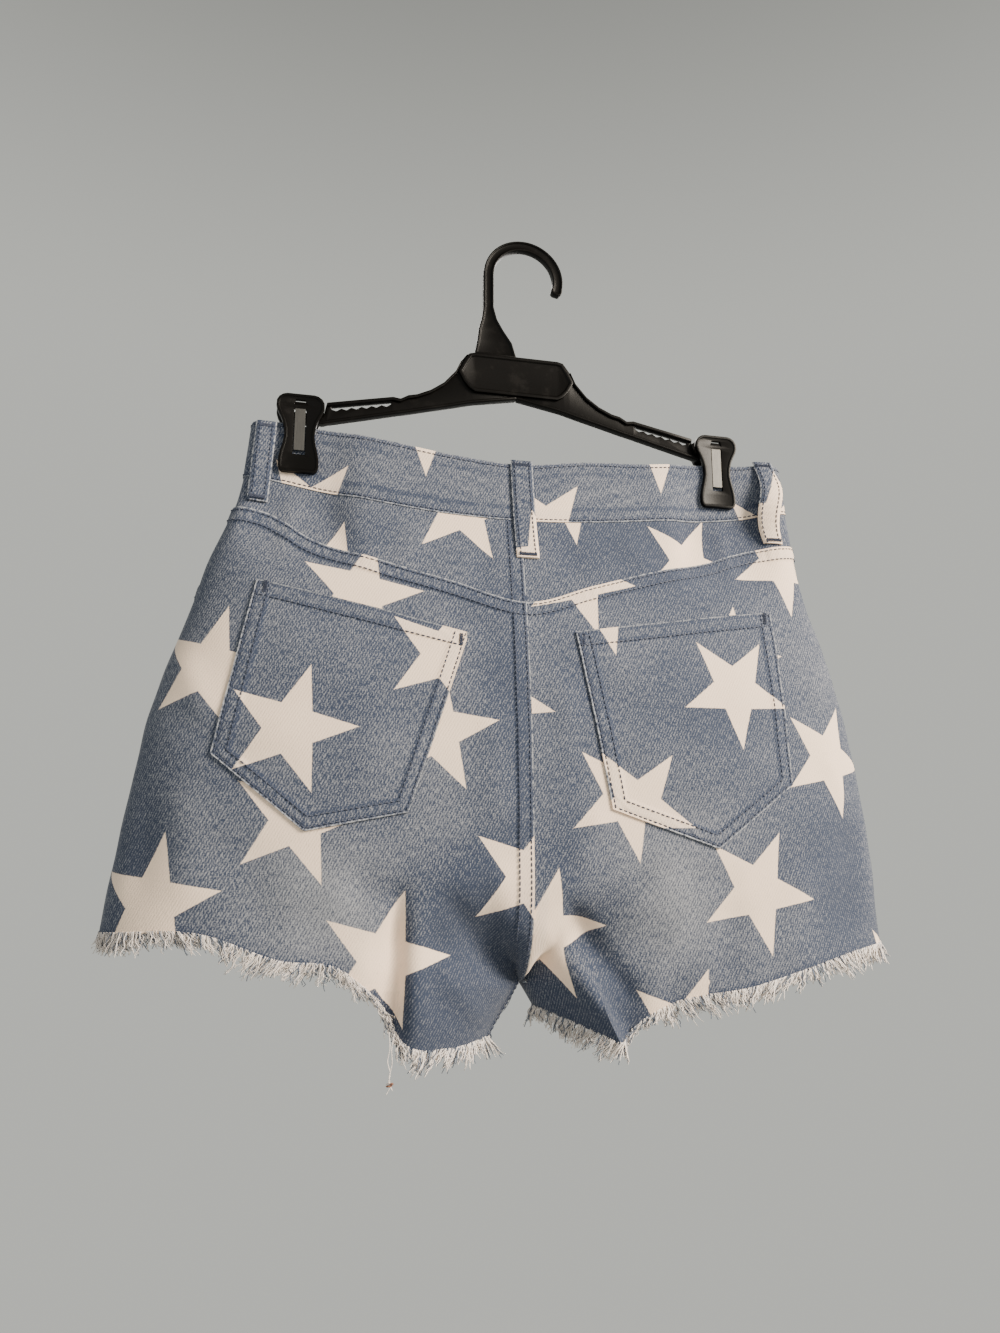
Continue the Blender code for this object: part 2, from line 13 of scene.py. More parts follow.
import bmesh
import bpy
import numpy as np
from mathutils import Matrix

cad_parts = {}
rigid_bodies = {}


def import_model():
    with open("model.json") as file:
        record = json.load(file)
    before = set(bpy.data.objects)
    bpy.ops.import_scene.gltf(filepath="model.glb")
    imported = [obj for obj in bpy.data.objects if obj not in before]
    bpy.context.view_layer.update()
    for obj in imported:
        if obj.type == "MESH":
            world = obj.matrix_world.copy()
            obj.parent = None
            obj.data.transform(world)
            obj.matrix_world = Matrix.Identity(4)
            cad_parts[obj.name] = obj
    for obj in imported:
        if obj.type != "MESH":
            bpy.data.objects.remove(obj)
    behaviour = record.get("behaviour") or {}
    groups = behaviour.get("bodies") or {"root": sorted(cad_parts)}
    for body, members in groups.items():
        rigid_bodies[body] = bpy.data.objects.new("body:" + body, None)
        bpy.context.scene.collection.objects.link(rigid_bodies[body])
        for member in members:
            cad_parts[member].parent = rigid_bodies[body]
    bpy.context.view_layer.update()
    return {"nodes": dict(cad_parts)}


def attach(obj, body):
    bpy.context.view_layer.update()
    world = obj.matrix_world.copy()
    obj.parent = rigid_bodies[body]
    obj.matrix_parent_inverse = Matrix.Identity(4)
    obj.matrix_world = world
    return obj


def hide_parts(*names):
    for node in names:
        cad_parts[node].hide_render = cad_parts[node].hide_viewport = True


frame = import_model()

MM = 0.001
bpy.ops.object.select_all(action="DESELECT")

# %% [markdown]
# ## The camera
#
# The shorts hang above the eye's level, and the eye stands a little to their left, so the camera
# looks up by 11.5 degrees and turns right by 12.5. A 26 mm lens on a 36 mm sensor is a phone's
# main camera. Its place is given from the point where the hook hangs, which is the origin.

# %% Place the camera
LOOK_UP, TURN_RIGHT, LENS = 11.5, 12.5, 26
EYE_MM = (-148, -593, -424)

camera_data = bpy.data.cameras.new("camera")
camera_data.lens, camera_data.sensor_width = LENS, 36
camera = bpy.data.objects.new("camera", camera_data)
camera.location = [v * MM for v in EYE_MM]
camera.rotation_euler = (math.radians(90 + LOOK_UP), 0, math.radians(-TURN_RIGHT))
bpy.context.scene.collection.objects.link(camera)
bpy.context.scene.camera = camera
print("camera stands", round(math.hypot(*EYE_MM[:2])), "mm from the hook's axis")

# %% [markdown]
# ## The surface that all the cloth follows
#
# A pair of shorts is one tube round the hips that divides into two legs. Every panel lies on
# that tube, so it is worked out once: at each height there is a ring, and each ring has four
# quarters, left and right, seat and front. A place on the cloth is its distance from the inner
# seam along the quarter, and its height. Those two numbers are also the cloth's own flat
# coordinates, which the twill and the print use, so the pattern bends with the cloth.
#
# The tables hold the ring's outline from the side seams in, the level seams, the hems and the
# folds, in millimetres. A smooth curve runs through each column.

# %% Sizes of the garment
LEFT, RIGHT, SEAT, FRONT = -1, 1, -1, 1
CENTRE_X = -5.5 * MM
CROTCH_Z = -494 * MM
SEAT_TURN = 70 * MM  # the height over which the seat divides into two legs
LEG_SPREAD = 0.62  # how fast the inner seams part below the crotch
LEG_ROUND = 20 * MM
CROWN = 0.18
CLIP_OUT = 143.5 * MM  # the clips' distance from the centre
GRIPPED = 3.2 * MM  # half the waist's depth where a clip holds it
GRIP_REACH = 31 * MM
GRIP_END, GRIP_FADES = -260 * MM, 70 * MM  # the height where a grip's flattening ends
UNEVEN, UNEVEN_FROM = 0.45 * MM, -205 * MM
FINE = 241  # points in a quarter ring's polyline
BATCH = 1500  # rings worked out at a time
LOWEST_Z = -545 * MM

RINGS = ("z", "left", "right", "seat", "front", "round")
RINGS_MM = [
    (-145, -178, 187, 8.5, 8.5, 6),
    (-205, -186, 194, 13, 11, 8),
    (-240, -199, 199, 21, 16, 12),
    (-285, -212, 213, 31, 22, 16),
    (-335, -227, 225, 38, 26, 20),
    (-395, -237, 233, 42, 30, 22),
    (-460, -246, 238, 42, 32, 24),
    (-545, -254, 245, 40, 32, 24),
]
LEVELS = ("x", "top", "waist", "yoke")
LEVELS_MM = [
    (-190, -150, -186, -207),
    (-165, -148, -188, -211),
    (-140, -150, -192, -227),
    (-100, -155, -199, -240),
    (-50, -162, -204.5, -253),
    (-5, -165, -205.5, -264),
    (40, -159, -203, -250),
    (85, -156, -198, -236),
    (125, -151, -193, -225),
    (155, -149, -189, -214),
    (190, -147, -182, -207),
]
HEMS_MM = {
    (LEFT, SEAT): [(-22, -524), (-55, -527), (-80, -521), (-97, -497), (-112, -484), (-148, -477),
                   (-190, -463), (-248, -463)],
    (LEFT, FRONT): [(-22, -524), (-70, -505), (-130, -480), (-200, -464), (-248, -463)],
    (RIGHT, SEAT): [(4, -509), (34, -521), (46, -526), (62, -514), (132, -497), (221, -477),
                    (243, -475)],
    (RIGHT, FRONT): [(4, -509), (60, -503), (120, -488), (190, -478), (243, -475)],
}
# A fold: its crest from above to below, height outwards, and how far it reaches to each side
FOLDS = ("x_above", "z_above", "x_below", "z_below", "height", "reach_left", "reach_right")
FOLDS_MM = {
    (LEFT, SEAT): [(-84, -425, -92, -525, -8, 16, 9), (-70, -440, -74, -525, 5, 8, 26)],
    (RIGHT, SEAT): [(0, -440, 46, -526, 14, 38, 5), (70, -450, 84, -520, -4, 14, 30)],
    (LEFT, FRONT): [(-90, -420, -104, -500, -6, 18, 14)],
    (RIGHT, FRONT): [(60, -420, 84, -500, 7, 26, 12)],
}


def columns(names, rows):
    return dict(zip(names, np.array(rows, float).T * MM))


def curve(x, xs, ys):
    """A smooth curve through (xs, ys), level past its ends."""
    slope = np.gradient(ys, xs)
    x = np.clip(x, xs[0], xs[-1])
    i = np.clip(np.searchsorted(xs, x) - 1, 0, len(xs) - 2)
    step = xs[i + 1] - xs[i]
    t = (x - xs[i]) / step
    rise = (2 * t**3 - 3 * t**2 + 1) * ys[i] + (3 * t**2 - 2 * t**3) * ys[i + 1]
    return rise + step * ((t**3 - 2 * t**2 + t) * slope[i] + (t**3 - t**2) * slope[i + 1])


def smooth(t):
    t = np.clip(t, 0, 1)
    return t * t * (3 - 2 * t)


RING = columns(RINGS, RINGS_MM[::-1])
LEVEL = columns(LEVELS, LEVELS_MM)


def ring(name, z):
    return curve(z, RING["z"], RING[name])


def level(name, x):
    return curve(x, LEVEL["x"], LEVEL[name])


def hem_z(side, face, x):
    xs, zs = columns(("x", "z"), sorted(HEMS_MM[side, face])).values()
    return curve(x, xs, zs)


print(len(RINGS_MM), "rings,", len(LEVELS_MM), "places along the level seams")

# %% Rings and places on them
def folds_at(side, face, x, z, across):
    out = np.zeros_like(x)
    for row in FOLDS_MM.get((side, face), []):
        f = dict(zip(FOLDS, np.array(row) * MM))
        drop = np.clip((f["z_above"] - z) / (f["z_above"] - f["z_below"]), 0, 1.1)
        off = x - (f["x_above"] + (f["x_below"] - f["x_above"]) * drop)
        reach = np.where(off < 0, f["reach_left"], f["reach_right"])
        out += f["height"] * smooth(drop) * np.exp(-np.sqrt((off / reach) ** 2 + 0.04) + 0.2)
    return out * smooth(across / 0.14) * smooth((1 - across) / 0.14)


def grip_at(x, z):
    held = sum(np.exp(-(((x - CENTRE_X - s * CLIP_OUT) / GRIP_REACH) ** 4)) for s in (LEFT, RIGHT))
    return held * smooth((z - GRIP_END) / GRIP_FADES)


def quarter(side, face, z):
    """Fine polylines (x, y, length) of one quarter ring at each z, from the inner seam out."""
    z = np.asarray(z, float)[:, None]
    t = np.linspace(0, 1, FINE)[None, :]
    inner = CENTRE_X + side * LEG_SPREAD * np.clip(CROTCH_Z - z, 0, None)
    outer = ring("left" if side == LEFT else "right", z)
    depth, rounding = ring("seat" if face == SEAT else "front", z), ring("round", z)
    half = np.abs(outer - inner)
    near = np.sin(t * math.pi / 2)
    power = np.maximum(2, 2 * rounding * half / depth**2)
    hip = near, (1 - CROWN * near**2) * np.sqrt(np.clip(1 - near**power, 0, 1))
    over = -np.cos(t * math.pi)
    power = np.maximum(2, LEG_ROUND * half / depth**2)
    leg = (1 + over) / 2, (1 - CROWN * over**2) * np.sqrt(np.clip(1 - np.abs(over) ** power, 0, 1))
    turn = np.clip((CROTCH_Z + SEAT_TURN - z) / SEAT_TURN, 0, 1)
    # Sharp only at the seam itself, so that no line crosses the leg at the crotch's height
    share = 1 - np.clip(1 - turn**3, 0, 1) ** (0.5 + 2.0 * smooth(near / 0.15))
    across = (1 - share) * hip[0] + share * leg[0]
    deep = depth * ((1 - share) * hip[1] + share * leg[1])
    x = inner + (outer - inner) * across
    held = grip_at(x, z)
    deep = deep * (1 - held) + np.minimum(deep, GRIPPED) * held
    deep = deep + folds_at(side, face, x, z, across) * np.minimum(1, deep / (10 * MM))
    y = face * deep
    steps = np.hypot(np.diff(x, axis=1), np.diff(y, axis=1))
    length = np.concatenate([np.zeros_like(z), np.cumsum(steps, axis=1)], axis=1)
    return x, y, length


def in_batches(work, *arrays):
    """Runs work over flat pieces of some arrays, so that the fine polylines stay small."""
    arrays = np.broadcast_arrays(*[np.asarray(a, float) for a in arrays])
    flat = [a.ravel() for a in arrays]
    done = [work(*[f[i:i + BATCH] for f in flat]) for i in range(0, len(flat[0]), BATCH)]
    return np.concatenate(done).reshape(*arrays[0].shape, -1)


def place(side, face, distance, z):
    """Points (x, y, z) at these distances from the inner seam along the ring at z."""
    def work(s, z):
        xs, ys, length = quarter(side, face, z)
        found = [(np.interp(d, m, x), np.interp(d, m, y)) for d, m, x, y in zip(s, length, xs, ys)]
        return np.column_stack([np.array(found), z])
    return in_batches(work, distance, z)


# Heights at which a ring is measured for a table, closer where the seat turns under
TABLE_Z = np.sort(np.concatenate([np.linspace(-560, -140, 141), np.linspace(-500, -476, 97)])) * MM
tables = {}


def reach_of(side, face, z):
    """The quarter ring's whole length at z."""
    if ("reach", side, face) not in tables:
        tables["reach", side, face] = quarter(side, face, TABLE_Z)[2][:, -1]
    return np.interp(z, TABLE_Z, tables["reach", side, face])


def at_x(face, x, z):
    """(x, y, z, distance) of the seat or front at x, for one place or many."""
    def work(x, z):
        rows = []
        for one_x, one_z in zip(x, z):
            side = LEFT if one_x < CENTRE_X else RIGHT
            xs, ys, length = (a[0] for a in quarter(side, face, [one_z]))
            xs = xs if side == RIGHT else -xs
            at = side * one_x if side == LEFT else one_x
            rows.append((one_x, np.interp(at, xs, ys), one_z, np.interp(at, xs, length)))
        return np.array(rows)
    return in_batches(work, x, z)


print("seat quarter at the hips:", round(float(reach_of(LEFT, SEAT, -0.4)) / MM), "mm long")

# %% [markdown]
# ## Which way is out
#
# Seams, creases and stitches are all raised from the cloth along its normals, so these have to
# point out of the garment. On a panel that is towards the seat's or the front's own side, and
# on the waistband, which runs right round, it is away from the middle.

# %% Normals of a grid
def grid_normals(points, face=None):
    """Unit normals of a grid, on the side of the seat or front, or away from its middle."""
    out = np.cross(np.gradient(points, axis=1), np.gradient(points, axis=0))
    out /= np.maximum(np.linalg.norm(out, axis=-1, keepdims=True), 1e-12)
    if face is None:
        outwards = (out * (points - points.mean(axis=(0, 1)))).sum() > 0
    else:
        outwards = out[..., 1].mean() * face > 0
    return out if outwards else -out


print("normals of a panel point to its own side, SEAT", SEAT, "or FRONT", FRONT, "along Y")

# %% [markdown]
# ## Creases
#
# The largest folds are in the rings already. Smaller creases are soft ridges and troughs that
# run from one point to another and die away at both ends. Worn denim has them where it was
# bent: fanning from the crotch, under the clips, and across the hips. Cloth simulation would
# scatter them anywhere, so they are listed one by one, each with its own length and depth.

# %% Creases, listed one by one
# From (x, z) to (x, z), height outwards, and half width, all in mm
CREASES_MM = {
    (LEFT, SEAT): [
        (-12, -500, -66, -432, -2.2, 8), (-26, -520, -70, -470, 1.8, 7),
        (-14, -478, -30, -418, 1.4, 8), (-100, -500, -124, -425, 1.6, 12),
        (-150, -470, -176, -405, -1.6, 14), (-196, -455, -206, -372, 1.6, 12),
        (-226, -455, -224, -370, -1.4, 9), (-212, -300, -190, -352, 1.2, 8),
        (-20, -290, -60, -268, -0.8, 8), (-30, -330, -26, -410, 1.1, 10),
        (-83, -430, -85, -528, -3.6, 5), (-73, -436, -72, -526, 2.6, 8),
        (-97, -440, -104, -506, 1.6, 9), (-150, -192, -156, -244, 1.0, 6),
        (-136, -192, -112, -250, -1.0, 9), (-163, -190, -184, -236, -0.9, 7),
        (-70, -212, -88, -250, 0.8, 9), (-30, -216, -36, -256, -0.6, 8),
        (-118, -430, -70, -448, -1.0, 9),
    ],
    (RIGHT, SEAT): [
        (12, -478, 76, -418, -2.0, 9), (52, -520, 96, -448, 1.8, 9),
        (18, -430, 40, -392, 1.2, 9), (112, -500, 120, -440, -1.6, 11),
        (150, -490, 176, -420, 1.8, 13), (198, -478, 212, -392, -1.6, 12),
        (226, -470, 226, -380, 1.2, 8), (214, -290, 186, -330, 1.2, 8),
        (14, -300, 20, -380, 1.1, 9), (190, -350, 214, -396, 1.2, 8),
        (10, -440, 62, -512, -3.4, 6), (-4, -452, 42, -520, 2.2, 7),
        (138, -190, 142, -244, 1.0, 6), (124, -192, 100, -246, -1.0, 9),
        (154, -188, 176, -232, -0.9, 7), (62, -206, 84, -242, 0.8, 9),
        (24, -214, 30, -250, -0.6, 8), (80, -432, 130, -438, -1.0, 9),
    ],
    (LEFT, FRONT): [
        (-10, -470, -70, -420, -2.0, 9), (-14, -440, -86, -380, 1.6, 9),
        (-16, -400, -60, -352, -1.2, 9), (-130, -470, -150, -380, 1.6, 14),
        (-200, -450, -206, -360, -1.6, 12), (-150, -192, -148, -240, 0.9, 7),
    ],
    (RIGHT, FRONT): [
        (4, -474, 66, -414, -2.0, 9), (6, -436, 80, -388, 1.6, 10),
        (10, -396, 50, -346, -1.2, 9), (126, -480, 140, -380, 1.7, 14),
        (196, -460, 204, -350, -1.6, 12), (138, -192, 134, -246, 0.9, 7),
    ],
}


def crease_height(side, face, x, z):
    """How far the listed creases and a slow unevenness push the cloth outwards."""
    height = np.zeros_like(x)
    for row in CREASES_MM[side, face]:
        x1, z1, x2, z2, rise, width = np.array(row) * MM
        run = math.hypot(x2 - x1, z2 - z1)
        ex, ez = (x2 - x1) / run, (z2 - z1) / run
        ahead = ((x - x1) * ex + (z - z1) * ez) / run
        off = (x - x1) * ez - (z - z1) * ex
        ends = smooth(ahead / 0.3) * smooth((1 - ahead) / 0.3)
        height += rise * ends * np.exp(-((off / width) ** 2))
    slow = np.sin(x * 61 + 3 * np.sin(z * 37)) * np.sin(z * 53 + 2 * np.sin(x * 29) + face)
    return height + UNEVEN * slow * smooth((UNEVEN_FROM - z) / (40 * MM))


print(sum(len(rows) for rows in CREASES_MM.values()), "creases")

# %% [markdown]
# ## Grids that follow their seams
#
# A seam is only a few millimetres wide, and the panel beside it is a quarter of a metre. So a
# panel's grid has fine columns and rows at fixed distances from its seams, and evenly spaced
# ones between. A welt, a row of stitches or a worn edge then follows one line of the grid.

# %% Grids
NEAR_MM = np.array([0, 0.7, 1.4, 2.2, 3.2, 4.4, 5.6, 6.8, 8.0, 8.8, 9.5, 10.2, 11.2, 13])
MIDDLE_OF_PANEL = 115 * MM
EDGE_STEPS = 14  # damped steps in which a panel's edge settles on its seam
WELT_WIDE, WELT_TALL, RIPPLE_TALL, RIPPLE_PITCH = 9.6 * MM, 0.7 * MM, 0.22 * MM, 5.6 * MM


def flat_across(side, face, s, z):
    """The flat cloth's second coordinate, true to x in the middle of each panel."""
    x = CENTRE_X + side * MIDDLE_OF_PANEL
    if ("middle", side, face) not in tables:
        tables["middle", side, face] = at_x(face, x + 0 * TABLE_Z, TABLE_Z)[:, 3]
    middle = np.interp(z, TABLE_Z, tables["middle", side, face])
    return -face * (x + side * (s - middle))


class Grid:
    """A panel's points, normals and flat places, with the seam distances of its lines."""

    def __init__(self, side, face, columns_mm, rows_mm, top, bottom, middle=(90, 90), start=0):
        self.side, self.face = side, face
        self.near_in, self.near_out = (np.array(d) * MM for d in columns_mm)
        self.near_top, self.near_bottom = (np.array(d) * MM for d in rows_mm)
        constant, share = self.lines(self.near_in, self.near_out, middle[0], start)
        z = np.full(len(share), -300 * MM)
        edges = []
        for edge in (top, bottom):
            for _ in range(EDGE_STEPS):
                whole = reach_of(side, face, z)
                here = place(side, face, np.clip(constant + share * whole, 0, whole), z)
                z = 0.5 * z + 0.5 * edge(here[:, 0], constant + share * whole, whole)
            edges.append(z)
        down, part = self.lines(self.near_top, self.near_bottom, middle[1])
        self.z = edges[0] - down[:, None] + part[:, None] * (edges[1] - edges[0])
        self.z = np.maximum(self.z, LOWEST_Z)
        whole = reach_of(side, face, self.z)
        self.s = constant + share * whole
        self.points = place(side, face, np.clip(self.s, 0, whole), self.z)
        self.normals = grid_normals(self.points, face)
        self.to_in, self.to_out = self.s, whole - self.s
        self.to_top, self.to_bottom = edges[0] - self.z, self.z - edges[1]
        self.flat = np.stack([flat_across(side, face, self.s, self.z), self.z], axis=-1)

    @staticmethod
    def lines(near, far, middle, start=0):
        """Lines at fixed distances from both edges, as distance = constant + share * length."""
        t = np.linspace(0, 1, middle + 2)[1:-1]
        constant = np.concatenate([near, near[-1] * (1 - t) - far[-1] * t, -far[::-1]])
        share = np.concatenate([0 * near + start, start * (1 - t) + t, 0 * far + 1])
        return constant, share

    def raise_by(self, height):
        self.points = self.points + self.normals * np.asarray(height)[..., None]
        self.normals = grid_normals(self.points, self.face)

    def crease(self):
        self.raise_by(crease_height(self.side, self.face, self.points[..., 0], self.z))

    def line(self, axis, near, distance, far_side):
        """A line of points and normals at a distance from one edge of the grid."""
        at = np.interp(distance, near, np.arange(len(near)))
        last = self.points.shape[axis] - 1
        at = last - at if far_side else at
        low = int(min(at, last - 1))
        share = at - low
        return [np.take(g, low, axis) * (1 - share) + np.take(g, low + 1, axis) * share
                for g in (self.points, self.normals)]

    def column(self, distance, outer=False):
        """A line at a distance from the inner or outer seam."""
        return self.line(1, self.near_out if outer else self.near_in, distance, outer)

    def row(self, distance, bottom=False):
        """A line at a distance from the top or bottom seam."""
        return self.line(0, self.near_bottom if bottom else self.near_top, distance, bottom)


def welt(distance, width=WELT_WIDE, height=WELT_TALL):
    """Height of the doubled cloth beside a seam, with a soft step at its far side."""
    return height * smooth((width + 0.9 * MM - distance) / (1.8 * MM))


def pucker(distance, run, width=WELT_WIDE, height=RIPPLE_TALL, pitch=RIPPLE_PITCH):
    """The small ripples that a tight double row of stitches pulls a welt into."""
    wave = np.sin(run / pitch * 2 * math.pi + 1.3 * np.sin(run * 190) + 0.8 * np.sin(run * 71))
    return height * wave * smooth(distance / (2 * MM)) * smooth((width - distance) / (2 * MM))


print(len(NEAR_MM), "fine lines beside each seam, out to", NEAR_MM[-1], "mm")

# %% [markdown]
# ## Stars
#
# The denim is printed with five-pointed stars about 75 mm across, scattered and turned, some of
# them cut off by a seam. A star could be painted in an image, but a print in code stays sharp
# at any distance. Each face of the cloth is told where it lies in the star that covers it most,
# and the material works out from those two numbers on which side of the star's edge it is.

# %% The print
STAR_REACH, STAR_NOTCH = 39 * MM, 0.40  # middle to tip, and the inner corners' share of it
# Middle (x, z) in mm and turn in degrees
STARS_MM = {
    "waistband_seat": [(-141, -206, 52), (-68, -140, 54), (12, -209, 55), (94, -138, 54),
                       (174, -205, 59)],
    "waistband_front": [(-120, -140, 30), (-60, -206, 12), (30, -140, 48), (110, -200, 20)],
    "yoke_left": [(-44, -200, 10), (-128, -252, 5)],
    "yoke_right": [(28, -181, 59), (111, -228, 66)],
    "back_left": [(-195, -313, 3), (-217, -446, 10), (-141, -400, 4), (-91, -477, 2),
                  (-109, -264, 5), (-64, -348, 10), (-7, -432, 0)],
    "back_right": [(30, -246, 69), (-29, -326, 59), (53, -386, 64), (136, -441, 64),
                   (197, -358, 66), (3, -465, 6), (87, -522, 68), (241, -494, 63),
                   (180, -222, 57), (130, -296, 8)],
    "back_pocket_left": [(-147, -349, 2), (-57, -302, 0)],
    "back_pocket_right": [(130, -316, 56), (43, -259, 65), (59, -391, 53)],
    "front_left": [(-52, -262, 20), (-120, -322, 50), (-40, -372, 8), (-196, -300, 16),
                   (-150, -420, 30), (-70, -462, 60), (-222, -404, 44)],
    "front_right": [(48, -232, 44), (110, -292, 10), (30, -328, 62), (188, -262, 30),
                    (96, -392, 36), (178, -372, 66), (36, -450, 14), (150, -466, 50),
                    (226, -440, 22)],
    "pocket_facing_left": [(-150, -214, 33)],
    "pocket_facing_right": [(158, -240, 10)],
}


def flat_place(side, face, x, z):
    """The panel's flat coordinate at (x, z), which may lie past its inner seam."""
    s = at_x(face, x, z)[3]
    if (x < CENTRE_X) != (side == LEFT):
        s = -s
    return float(flat_across(side, face, s, z))


def flat_stars(name, side, face):
    """The stars' middles in the panel's flat cloth."""
    return [(flat_place(side, face, x * MM, z * MM), z * MM, turn) for x, z, turn in STARS_MM[name]]


def star_height(local):
    """How far inside a star of reach 1 a point is; negative outside."""
    turn = np.arctan2(local[..., 1], local[..., 0])
    sector, half = math.radians(72), math.radians(36)
    turn = np.abs((turn + half) % sector - half)
    r = np.hypot(local[..., 0], local[..., 1])
    across, along = STAR_NOTCH * math.sin(half), 1 - STAR_NOTCH * math.cos(half)
    size = math.hypot(across, along)
    return (across - r * (np.cos(turn) * across + np.sin(turn) * along)) / size


def print_stars(mesh, stars):
    """Writes each face corner's place in the star that covers its face best."""
    corners = np.empty(len(mesh.loops) * 2, np.float32)
    mesh.uv_layers["cloth"].data.foreach_get("uv", corners)
    corners = corners.reshape(-1, 2).astype(float)
    sizes = np.empty(len(mesh.polygons), np.int32)
    mesh.polygons.foreach_get("loop_total", sizes)
    owner = np.repeat(np.arange(len(sizes)), sizes)
    middle = np.column_stack([np.bincount(owner, corners[:, k]) for k in (0, 1)]) / sizes[:, None]
    values = np.full((len(corners), 3), 9.0)
    best = np.full(len(sizes), -9.0)
    for u, v, turn in stars:
        a = math.radians(turn)
        spin = np.array([[math.cos(a), -math.sin(a)], [math.sin(a), math.cos(a)]]) / STAR_REACH
        height = star_height((middle - (u, v)) @ spin)
        better = height > best
        best = np.where(better, height, best)
        chosen = better[owner]
        values[chosen, :2] = ((corners - (u, v)) @ spin)[chosen]
    attribute = mesh.attributes.new("star", "FLOAT_VECTOR", "CORNER")
    attribute.data.foreach_set("vector", values.astype(np.float32).ravel())


print(sum(len(rows) for rows in STARS_MM.values()), "stars,",
      round(2 * STAR_REACH * math.sin(math.radians(72)) / MM), "mm from tip to tip")

# %% [markdown]
# ## From a grid to a piece of cloth
#
# Denim is a sheet about a millimetre thick. It could get its wall from the Solidify modifier,
# but here both faces are built from one grid, because the raised seams then keep their sides.
# Each piece carries what its finish needs: a UV map in metres of flat cloth for the twill, the
# distance from a worn seam and along it, how faded it is together with its painted shade, and its
# place in the nearest star.

# %% Cloth from a grid
WALL = 1.1 * MM


def link(name, vertices, faces):
    mesh = bpy.data.meshes.new(name)
    mesh.from_pydata(np.asarray(vertices).tolist(), [], [list(map(int, face)) for face in faces])
    piece = bpy.data.objects.new(name, mesh)
    bpy.context.scene.collection.objects.link(piece)
    return piece


def write(mesh, name, values):
    """A point attribute from an array with one number or three for each vertex."""
    values = np.asarray(values, np.float32)
    kind, field = ("FLOAT", "value") if values.ndim == 1 else ("FLOAT_VECTOR", "vector")
    mesh.attributes.new(name, kind, "POINT").data.foreach_set(field, values.ravel())


def sheet_faces(rows, cols):
    """Quads of the outer face, the inner face and the four rims of a grid's wall."""
    r, c = np.meshgrid(np.arange(rows - 1), np.arange(cols - 1), indexing="ij")
    a, back = r * cols + c, rows * cols
    outer = np.stack([a, a + 1, a + 1 + cols, a + cols], axis=-1).reshape(-1, 4)
    c, r = np.arange(cols - 1), np.arange(rows - 1) * cols
    low = (rows - 1) * cols + c
    right = r + cols - 1
    rims = [np.stack(four, axis=-1) for four in (
        (c + 1, c, back + c, back + c + 1),
        (low, low + 1, back + low + 1, back + low),
        (r, r + cols, back + r + cols, back + r),
        (right + cols, right, back + right, back + right + cols))]
    return outer, back + outer[:, ::-1], np.concatenate(rims)


def cloth(name, points, normals, flat, seam, fade_and_shade, stars, thick=WALL):
    """A wall of cloth below a grid of outer points."""
    rows, cols = points.shape[:2]
    vertices = np.concatenate([points.reshape(-1, 3), (points - normals * thick).reshape(-1, 3)])
    outer, inner, rims = sheet_faces(rows, cols)
    faces = np.concatenate([outer, inner, rims])
    a, b, c = (vertices[faces[:len(outer), k]] for k in (0, 1, 2))
    if (np.cross(b - a, c - a) * normals[:-1, :-1].reshape(-1, 3)).sum() < 0:
        faces = faces[:, ::-1]
    piece = link(name, vertices, faces)
    mesh = piece.data
    for material in (OUTSIDE, INSIDE):
        mesh.materials.append(material)
    side_of_cloth = np.zeros(len(faces), np.int32)
    side_of_cloth[len(outer):2 * len(outer)] = 1
    mesh.polygons.foreach_set("material_index", side_of_cloth)
    both = np.concatenate([flat.reshape(-1, 2)] * 2)
    uv = mesh.uv_layers.new(name="cloth")
    uv.data.foreach_set("uv", both[faces.ravel()].astype(np.float32).ravel())
    write(mesh, "seam", np.concatenate([seam.reshape(-1, 3)] * 2))
    write(mesh, "fade_and_shade", np.concatenate([fade_and_shade.ravel()] * 2))
    print_stars(mesh, stars)
    mesh.polygons.foreach_set("use_smooth", np.ones(len(faces), bool))
    mesh.set_sharp_from_angle(angle=math.radians(60))
    return piece


def nearest_seam(*seams):
    """(distance, run, strength) of the nearest of some seams, from their three grids each."""
    distances = np.stack([s[0] for s in seams])
    pick = np.argmin(distances, axis=0)
    layers = [np.stack([np.broadcast_to(s[k], distances[0].shape) for s in seams])
              for k in range(3)]
    return np.stack([np.take_along_axis(layer, pick[None], axis=0)[0] for layer in layers],
                    axis=-1)


def declare(piece, node):
    """Rides the piece on the body in place of its node, which it hides."""
    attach(piece, "root")
    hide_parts(node)


print("cloth walls are", WALL / MM, "mm thick")

# %% [markdown]
# ## The denim's finish
#
# Denim is a twill: dark blue threads run up the cloth and white ones across, and a fine
# diagonal rib shows. Washed denim is speckled, because the dye has worn off the threads' tops.
# The pattern could sit in the object's own coordinates, but it would swim through the folds,
# so it follows the cloth's flat coordinates. A small helper class keeps the node code short.

